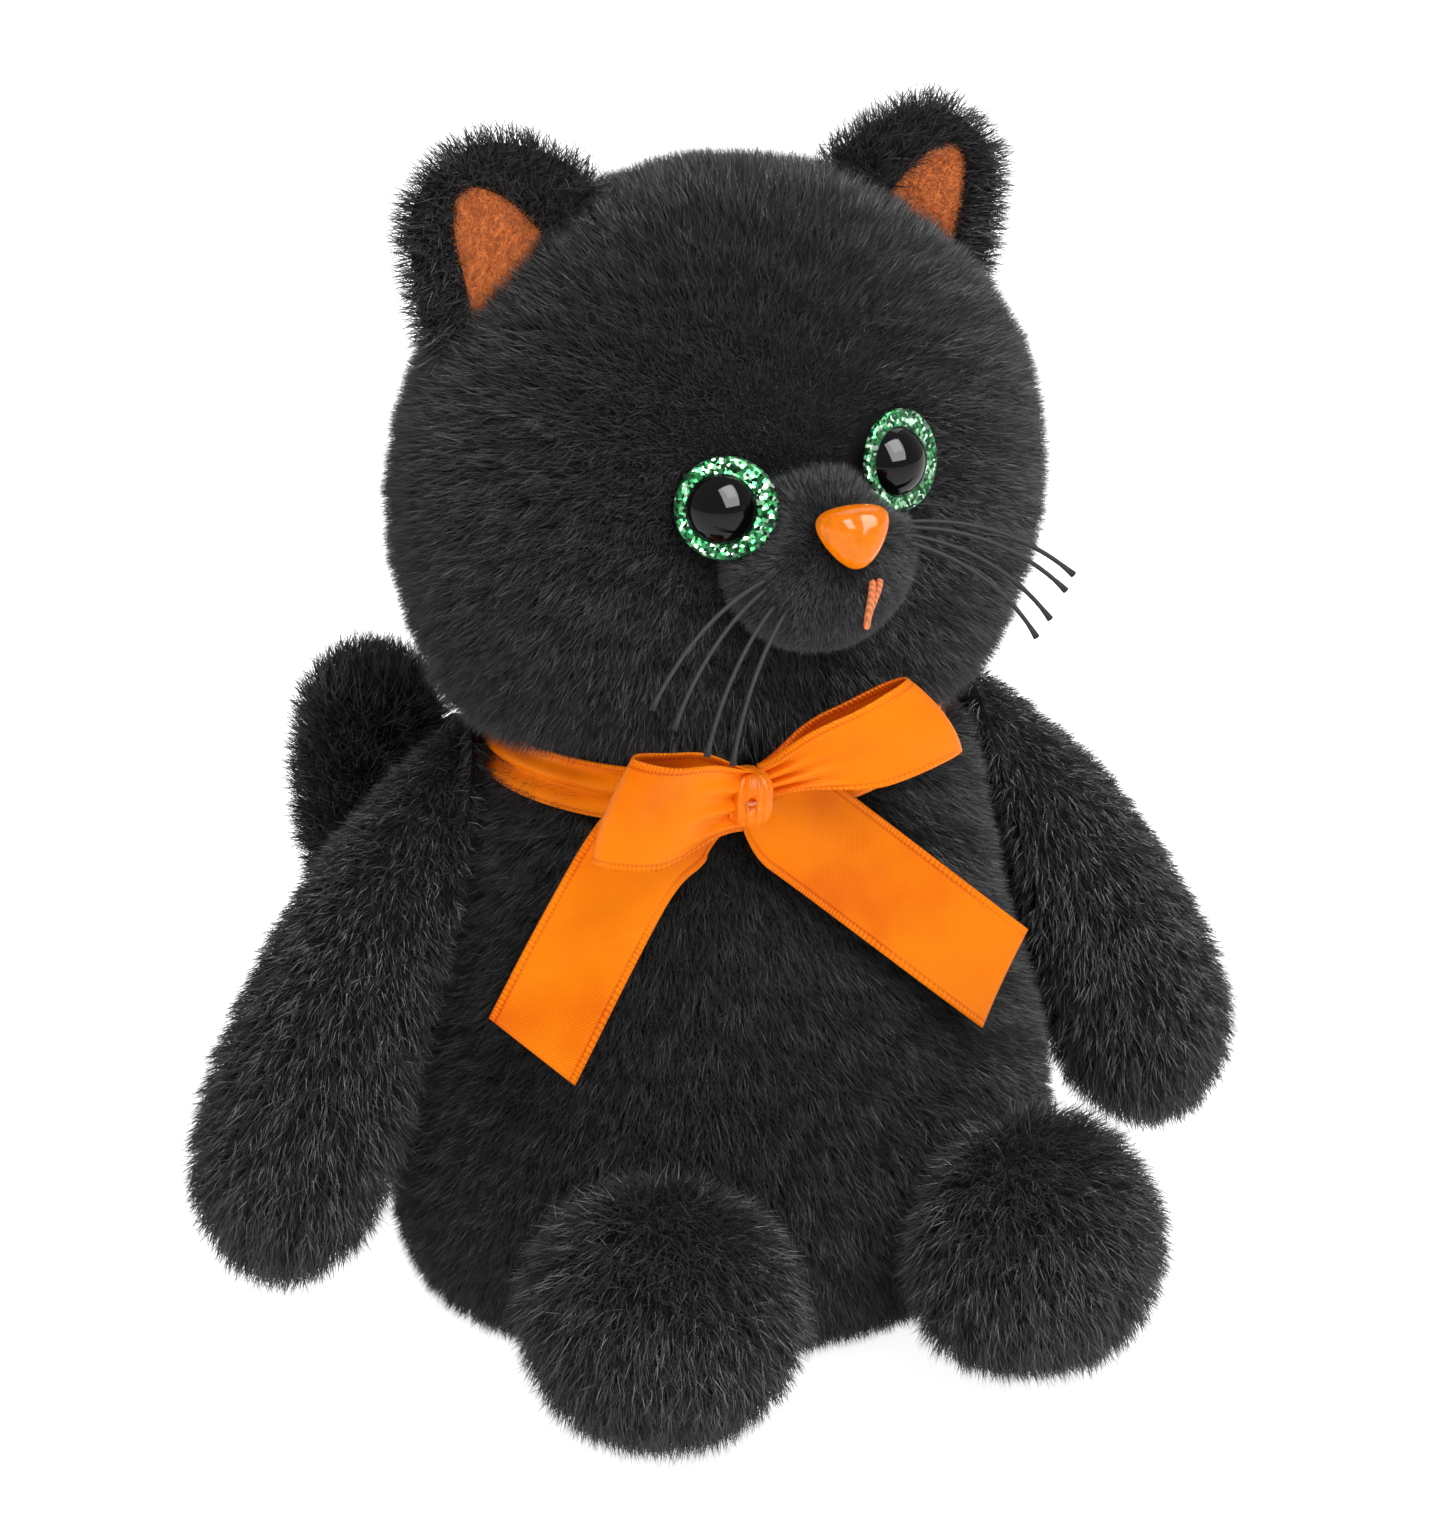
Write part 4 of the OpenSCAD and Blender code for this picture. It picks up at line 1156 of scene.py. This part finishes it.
@dataclass
class Leg:
    """A round foot that sticks out in front, with long pile."""

    side: Side
    pile: Pile = Pile(5.4, 5.2, lie=0.5, jitter=0.34, clump=0.42, curl=0.4)
    inset: float = 4.0
    radius: float = 23.6
    reach: float = 16.6
    behind: float = 15.5
    hip: tuple[float, float, float] = (25.19, -41.0, 24.6)
    splay: float = 22.45

    def build(self) -> None:
        """A ball round the foot's middle, drawn out at the back into the body."""
        word, body = self.side.word, f"{self.side.word}_leg"
        place = Place.at(*self.hip, turn(Axis.Z, self.splay), turn(Axis.X, 90)).mirrored(self.side)
        a = np.linspace(-0.5, 0.497, 40) * math.pi
        lift = np.sin(a)
        z = self.reach + np.where(lift < 0, self.behind * lift, self.radius * lift)
        r = self.radius * np.cos(a) ** np.where(lift < 0, 0.8, 1.0)
        skin = turned(np.stack([r, z], 1), 56).grown(-self.inset).placed(place)
        base = make_mesh(f"leg_{word}_backing", skin, BACKING)
        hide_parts(f"leg_{word}_skin", f"leg_{word}_stuffing")
        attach(base, body)
        ahead = place.way(np.array([0, 0, 1.0]))
        coat = FurCoat(f"leg_{word}_fur", self.pile, LONG_FUR, "black_plush", body, 81 + self.side.value)
        coat.grow(skin, lambda p, n: 0.6 * ahead + DOWN + 0 * p,
                  keep=lambda p: (p - place.origin) @ ahead > 3,
                  reach=lambda p: 0.5 + 0.5 * smooth_step(4, 14, p[:, 2]))


@dataclass
class Tail:
    """The tail: out of the back, up beside the body and straight at its end."""

    pile: Pile = Pile(5.2, 4.8, lie=0.6, jitter=0.34, clump=0.42, curl=0.45)
    inset: float = 3.8
    radius: float = 14.5
    short_bend: float = 14.5
    long_bend: float = 56.0
    turn: float = 62.0
    lean: float = 50.0
    root: tuple[float, float, float] = (-14, 42.31, 24)
    root_turn: float = 11.54

    def path(self) -> Array:
        """Short bend from square out of the back to the lower way, then the long bend up."""
        lean = math.radians(self.lean)
        lower = np.array([math.sin(lean), 0, math.cos(lean)])
        b = np.linspace(0, math.pi / 2, 12)[:, None]
        first = self.short_bend * (lower * (1 - np.cos(b)) + np.array([0, 1.0, 0]) * np.sin(b))
        t = lean - np.radians(np.linspace(0, self.turn, 26)[1:])
        second = first[-1] + self.long_bend * np.stack(
            [np.cos(t) - math.cos(lean), 0 * t, math.sin(lean) - np.sin(t)], 1)
        root = np.array([[0, -6.0, 0], [0, -3.0, 0]])
        return np.concatenate([root, first, second])

    def build(self) -> None:
        """Makes the skin with a domed tip, and its coat combed to the tip."""
        place = Place.at(*self.root, turn(Axis.Z, self.root_turn), np.diag([-1.0, 1.0, 1.0]))
        path = self.path()
        way = unit(path[-1] - path[-2])
        a = np.linspace(0, 1, 9)[1:] * math.pi / 2 * 0.98
        dome = path[-1] + way * self.radius * np.sin(a)[:, None]
        grow = 0.82 + 0.18 * smooth_step(0, 14, np.arange(len(path)))
        r = np.concatenate([self.radius * grow, self.radius * np.cos(a)])
        lean = math.radians(self.lean)
        hint = np.array([math.cos(lean), 0, -math.sin(lean)])
        skin = swept(np.concatenate([path, dome]), r, 36, hint).grown(-self.inset).placed(place)
        base = make_mesh("tail_backing", skin, BACKING)
        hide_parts("tail_skin", "tail_stuffing")
        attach(base, "tail")
        line = place.point(path)

        def comb(p: Array, n: Array) -> Array:
            """Along the nearest stretch of the tail's line."""
            near = np.argmin(((p[:, None] - line[None, ::3]) ** 2).sum(-1), axis=1) * 3
            return unit(np.gradient(line, axis=0))[near]

        coat = FurCoat("tail_fur", self.pile, LONG_FUR, "black_plush", "tail", 91)
        coat.grow(skin, comb)


@dataclass
class Ribbon:
    """A satin strip laid through the row frame; its cut sizes are in millimetres."""

    name: str
    node: str
    body: str
    length: float
    width: float
    thick: float = 0.35
    # Past this share the strip lies inside a fold, and its colour there is painted shade.
    fold_shade_from: float = 2.0  # share of the length past which it lies inside a fold

    def lay(self, points: Array, rests_on: Sequence[str], held: str) -> bpy.types.Object:
        """Args:
            points: grid of places, along the strip by across it, in the row frame.
            rests_on: names of what it lies on; not used.

        Returns:
            The strip.
        """
        rows, columns = points.shape[:2]
        u = np.repeat(np.linspace(0, 1, rows), columns)
        v = np.tile(np.linspace(0, 1, columns), rows)
        form = Surface(points.reshape(-1, 3), grid_quads(rows, columns, False), np.zeros((0, 3), int),
                       np.stack([u, v], 1))
        finish = satin(f"orange_satin_{self.name}", self.length, self.width, self.fold_shade_from)
        obj = make_mesh(self.name, form, finish)
        solid = obj.modifiers.new("cloth", "SOLIDIFY")
        solid.thickness = self.thick * MM
        solid.offset = 0.0
        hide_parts(self.node)
        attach(obj, self.body)
        LOG.info("%s: %.0f x %.0f mm", self.name, self.length, self.width)
        return obj


@dataclass
class NeckBand:
    """The ribbon round the neck, gathered in folds that run round it."""

    half_width: float = 39.6
    depth: float = 34.2
    low: float = 95.8
    high: float = 104.6
    tuck: float = 3.4
    lift: float = 3.8
    cut_half_width: float = 41.2  # of the oval that the ribbon was cut for, before it is tucked in
    gathered_width: float = 14.0

    def build(self) -> None:
        """An oval strip whose section is a slack S: folds of unlike height and a flared foot.

        It runs deeper in the fur and higher on the cat's left, behind the loop. Its length is
        Ramanujan's first sum for an oval's way round.
        """
        t = np.linspace(0, 2 * math.pi, 141)[:, None]
        v = np.linspace(0, 1, 25)[None, :]
        fold = 0.75 * np.sin(2 * math.pi * (2.3 * v + 0.12 * np.sin(3 * t))) * np.sin(math.pi * v) ** 0.5
        flare = 1.3 * (1 - v) ** 2
        tuck = self.tuck * np.exp(5 * (np.cos(t + 0.3) - 1))
        out = fold + flare - tuck
        x = (self.half_width + out) * np.cos(t)
        y = (self.depth + out) * np.sin(t)
        z = self.low + (self.high - self.low) * v + 0.5 * np.sin(2 * t + 1)
        z = z + self.lift * np.exp(4 * (np.cos(t + 0.85) - 1))
        a, b = self.cut_half_width, self.depth
        around = math.pi * (3 * (a + b) - math.sqrt((3 * a + b) * (a + 3 * b)))
        strip = Ribbon("neck_band_satin", "neck_band", "torso", around, self.gathered_width)
        strip.lay(np.stack([x, y, z], -1), ["body_skin"], "gathered")


@dataclass
class Loop:
    """One loop of the bow: out from the knot, round a soft fold and back behind."""

    side: Side
    reach: float
    place: Place
    half: float = 8.4
    open: float = 9.0
    gather: float = 3.0
    wave: float = 0.0
    skew: float = 6.0  # how much shorter the upper edge reaches than the lower

    def build(self) -> None:
        """The strip's path is a drop; its width grows from the knot, with pleats that fade."""
        rows, columns = 90, 33
        u = np.linspace(0, 1, rows)[:, None]
        v = np.linspace(-1, 1, columns)[None, :]
        a = 2 * math.pi * (u * 0.96 + 0.02)
        run = (1 - np.cos(a)) / 2
        x = self.reach * run
        belly = self.open / 2 * np.sin(a) * run**0.62
        spread = smooth_step(0.0, 0.62, run)
        half = self.gather + (self.half - self.gather) * spread
        pleat = 0.75 * np.cos(3.5 * math.pi * v + 0.6) * (1 - spread) ** 1.2
        slack = 0.5 * np.sin(2 * math.pi * (run + 0.35 * v)) * spread * (1 + self.wave)
        bend = self.wave * 2.4 * spread * (v**2 - 0.3) * np.sign(np.sin(a)) * np.abs(np.sin(a)) ** 0.5
        y = -belly + pleat + slack * 0.6 + bend
        z = half * v * (1 - 0.05 * np.sin(math.pi * run)) + 0.5 * np.sin(2.4 * math.pi * run) * v**2
        x = x - self.skew * (1 + v) ** 2 / 4 * spread
        flat = np.stack(np.broadcast_arrays(x, y, z), -1).reshape(-1, 3)
        grid = self.place.point(flat).reshape(rows, columns, 3)
        length = float(np.linalg.norm(np.diff(grid[:, columns // 2], axis=0), axis=1).sum())
        word = self.side.word
        # Past 0.52 of its length the cat's left loop lies inside its fold and is painted in shade.
        strip = Ribbon(f"bow_loop_{word}_satin", f"bow_loop_{word}", "torso", length, 2 * self.half,
                       fold_shade_from=0.52 if self.side is Side.LEFT else 2.0)
        strip.lay(grid, ["bow_knot_satin"], "folded")


@dataclass
class RibbonEnd:
    """A cut end of the ribbon that lies down the chest from the knot."""

    side: Side
    path: tuple[tuple[float, float], ...]  # middle line from the knot: across, height
    half: float = 8.7
    slant: float = 2.0
    start: float = 2.4
    lean: float = 14.0
    chest: tuple[float, float] = (-36.3, 97.5)  # depth and height of a point of the chest's plane

    def build(self) -> None:
        """A strip in the chest's leaning plane: its line is smooth through the path, its width grows
        from the gathers at the knot, and slow ripples stand off the plane."""
        rows, columns = 70, 29
        flat = smooth_rows(self.path, rows)
        slope = math.tan(math.radians(self.lean))
        back = 4.0 * ((flat[:, 0] + 11) / 36) ** 2
        depth = self.chest[0] - (self.chest[1] - flat[:, 1]) * slope + back
        line = np.stack([flat[:, 0], depth, flat[:, 1]], 1)
        way = unit(np.gradient(line, axis=0))
        out = np.array([0, -math.cos(math.radians(self.lean)), math.sin(math.radians(self.lean))])
        across = unit(np.cross(out, way))
        u = np.linspace(0, 1, rows)[:, None]
        v = np.linspace(-1, 1, columns)[None, :]
        spread = smooth_step(-0.12, 0.34, u)
        half = self.start + (self.half - self.start) * spread
        pleat = 0.8 * np.cos(3 * math.pi * v + 0.5) * (1 - spread)
        ripple = 0.8 * np.sin(2 * math.pi * (0.9 * u + 0.16 * v) + 0.7) * spread * u
        curl = 0.6 * v**2 * smooth_step(0.3, 1, u)
        cut = -self.side.value * self.slant * v * u**3
        grid = (line[:, None] + across[:, None] * (half * v)[..., None] + way[:, None] * cut[..., None]
                + out * (pleat + ripple + curl)[..., None])
        length = float(np.linalg.norm(np.diff(line, axis=0), axis=1).sum())
        word = self.side.word
        strip = Ribbon(f"bow_end_{word}_satin", f"bow_end_{word}", f"ribbon_end_{word}", length,
                       2 * self.half)
        strip.lay(grid, ["body_skin"], "hung")


@dataclass
class Knot:
    """The bow's knot: a short pleated roll of ribbon, nipped in by one stitch."""

    centre: tuple[float, float, float] = (-11.4, -41.4, 103.9)
    size: tuple[float, float, float] = (3.7, 4.3, 4.7)
    stitch_r: float = 0.32

    def build(self) -> None:
        """Rings about Z with a bulging height profile, upright pleats and a dimple at the front."""
        s = np.linspace(-1, 1, 30)[:, None]
        t = 2 * math.pi * np.arange(96)[None, :] / 96
        belly = (1 - np.abs(s) ** 3.2) ** 0.42
        pleat = 1 + (0.055 * np.cos(13 * t + 1.2 * s) + 0.03 * np.cos(29 * t)) * (1 - 0.3 * s**2)
        waist = 1 - 0.06 * np.exp(-((s / 0.4) ** 2))
        r = belly * pleat * waist
        x = self.size[0] * r * np.cos(t)
        y = self.size[1] * r * np.sin(t)
        z = self.size[2] * s + 0 * t
        dimple = np.exp(-((x + 0.6) ** 2 + (z - 0.2) ** 2) / 1.3) * (y < 0)
        y = y + 1.3 * dimple
        form = closed_tube(np.stack([x, y, z], -1)).placed(Place.at(*self.centre, turn(Axis.Y, 4)))
        knot = make_mesh("bow_knot_satin", form, KNOT_SATIN)
        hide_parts("bow_knot")
        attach(knot, "torso")
        s = np.linspace(0, 1, 12)
        y = -self.size[1] + 0.75 + 0.5 * (2 * s - 1) ** 2
        path = np.stack([-0.6 + 1.6 * (s - 0.5), y, 0.2 + 0 * s], 1)
        tube = swept(path + np.array(self.centre), np.full(12, self.stitch_r), 8, np.array([0, 0, 1.0]))
        stitch = make_mesh("bow_stitch_thread", tube, THREAD)
        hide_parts("bow_stitch")
        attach(stitch, "torso")


class Bow:
    """The ribbon tied at the neck, to the cat's right of the middle."""

    def build(self) -> None:
        """Makes the band, the two loops, the two ends and the knot."""
        NeckBand().build()
        left = Place.at(-9.0, -40.6, 105.6, turn(Axis.Z, -4), turn(Axis.Y, -15), turn(Axis.X, 7))
        right = Place.at(-11.6, -42.2, 103.4, turn(Axis.Z, 184), turn(Axis.Y, -5), turn(Axis.X, -8))
        Loop(Side.LEFT, 32.5, left, half=8.0, open=4.8).build()
        Loop(Side.RIGHT, 25.0, right, half=9.2, open=7.5, gather=5.6, wave=0.25, skew=4.0).build()
        RibbonEnd(Side.LEFT, ((-8.5, 102), (-1, 95.8), (12, 84.2), (34.7, 63.4))).build()
        RibbonEnd(Side.RIGHT, ((-12.5, 101), (-20, 99.5), (-28, 94), (-37, 81.5), (-47.2, 65.5))).build()
        Knot().build()


class Inside:
    """The parts inside the cat, which stay as designed and get their own finishes."""

    finishes: dict[str, Finish] = {
        "body_stuffing": FILL, "head_stuffing": FILL, "neck_plug": FILL,
        "pellet_bag": CLOTH, "pellets": PELLETS, "eye_washer_left": PLASTIC, "eye_washer_right": PLASTIC,
        "nose_washer": PLASTIC}

    def dress(self) -> None:
        """Gives each inner node its finish."""
        for node, finish in self.finishes.items():
            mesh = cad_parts[node].data
            mesh.materials.clear()
            mesh.materials.append(finish.make())


@dataclass
class Studio:
    """White room, soft lamps and the camera."""

    azimuth: float = -20.7
    elevation: float = 21.9
    distance: float = 0.640
    lens: float = 91.63
    target: tuple[float, float, float] = (0.0, 0.0, 0.1)
    floor_glow: float = 0.9

    def build(self) -> None:
        """Sets the room up round the cat."""
        scene = bpy.context.scene
        scene.view_settings.view_transform = "Standard"
        world = bpy.data.worlds.new("room")
        world.use_nodes = True
        world.node_tree.nodes["Background"].inputs["Color"].default_value = (1, 1, 1, 1)
        world.node_tree.nodes["Background"].inputs["Strength"].default_value = 0.5
        scene.world = world
        self.camera()
        self.floor()
        self.lamp("key", 20, 58, 0.6, (0.26, 0.36), 1.6)
        window = self.lamp("window", 14, 46, 0.6, (0.46, 0.62), 13.0)
        window.visible_diffuse = False
        fill = self.lamp("fill", -75, 30, 1.1, (0.6, 0.6), 1.6)
        fill.visible_glossy = False
        self.lamp("back", 150, 50, 1.1, (0.7, 0.7), 3.0)

    @staticmethod
    def out(azimuth: float, elevation: float) -> Vector:
        """Direction from the cat to a place round it; azimuth 0 is straight ahead of its face."""
        a, e = math.radians(azimuth), math.radians(elevation)
        return Vector((math.sin(a) * math.cos(e), -math.cos(a) * math.cos(e), math.sin(e)))

    def camera(self) -> None:
        """Places the camera, shifted a little so that the cat sits as high as it should."""
        data = bpy.data.cameras.new("camera")
        data.lens = self.lens
        data.sensor_width = 36.0
        data.shift_y = -0.0268
        data.clip_start, data.clip_end = 0.01, 20.0
        camera = bpy.data.objects.new("camera", data)
        back = self.out(self.azimuth, self.elevation)
        camera.location = Vector(self.target) + back * self.distance
        camera.rotation_mode = "QUATERNION"
        camera.rotation_quaternion = (-back).to_track_quat("-Z", "Y")
        bpy.context.scene.collection.objects.link(camera)
        bpy.context.scene.camera = camera

    def floor(self) -> None:
        """A wide pale floor."""
        mesh = bpy.data.meshes.new("floor")
        corners = [(x, y, 0.0) for x, y in ((-3, -3), (3, -3), (3, 3), (-3, 3))]
        mesh.from_pydata(corners, [], [(0, 1, 2, 3)])
        paint = Finish("floor_paint", (0.93, 0.93, 0.93), rough=0.9, specular=0.1)
        material = paint.make()
        shader = material.node_tree.nodes["Principled BSDF"]
        shader.inputs["Emission Color"].default_value = (1, 1, 1, 1)
        shader.inputs["Emission Strength"].default_value = self.floor_glow
        mesh.materials.append(material)
        floor = bpy.data.objects.new("floor", mesh)
        bpy.context.scene.collection.objects.link(floor)

    def lamp(self, name: str, azimuth: float, elevation: float, distance: float,
             size: tuple[float, float], power: float) -> bpy.types.Object:
        """A soft oblong lamp that looks at the cat."""
        data = bpy.data.lights.new(name, "AREA")
        data.shape = "RECTANGLE"
        data.size, data.size_y = size
        data.energy = power
        lamp = bpy.data.objects.new(name, data)
        way = self.out(azimuth, elevation)
        lamp.location = Vector(self.target) + way * distance
        lamp.rotation_mode = "QUATERNION"
        lamp.rotation_quaternion = (-way).to_track_quat("-Z", "Y")
        bpy.context.scene.collection.objects.link(lamp)
        return lamp


def main() -> None:
    """Builds the room, then the cat's pieces in order, and logs each piece as it is built."""
    logging.basicConfig(level=logging.INFO, format="%(message)s")
    Studio().build()
    Inside().dress()
    for piece in (Torso(), Head(), Muzzle(), Nose(), Mouth(), Bow(), Tail()):
        piece.build()
        LOG.info("built %s", type(piece).__name__)
    for side in Side:
        for kind in (Eye, Whiskers, Ear, Arm, Leg):
            kind(side).build()
            LOG.info("built %s %s", kind.__name__, side.word)


if __name__ == "__main__":
    main()
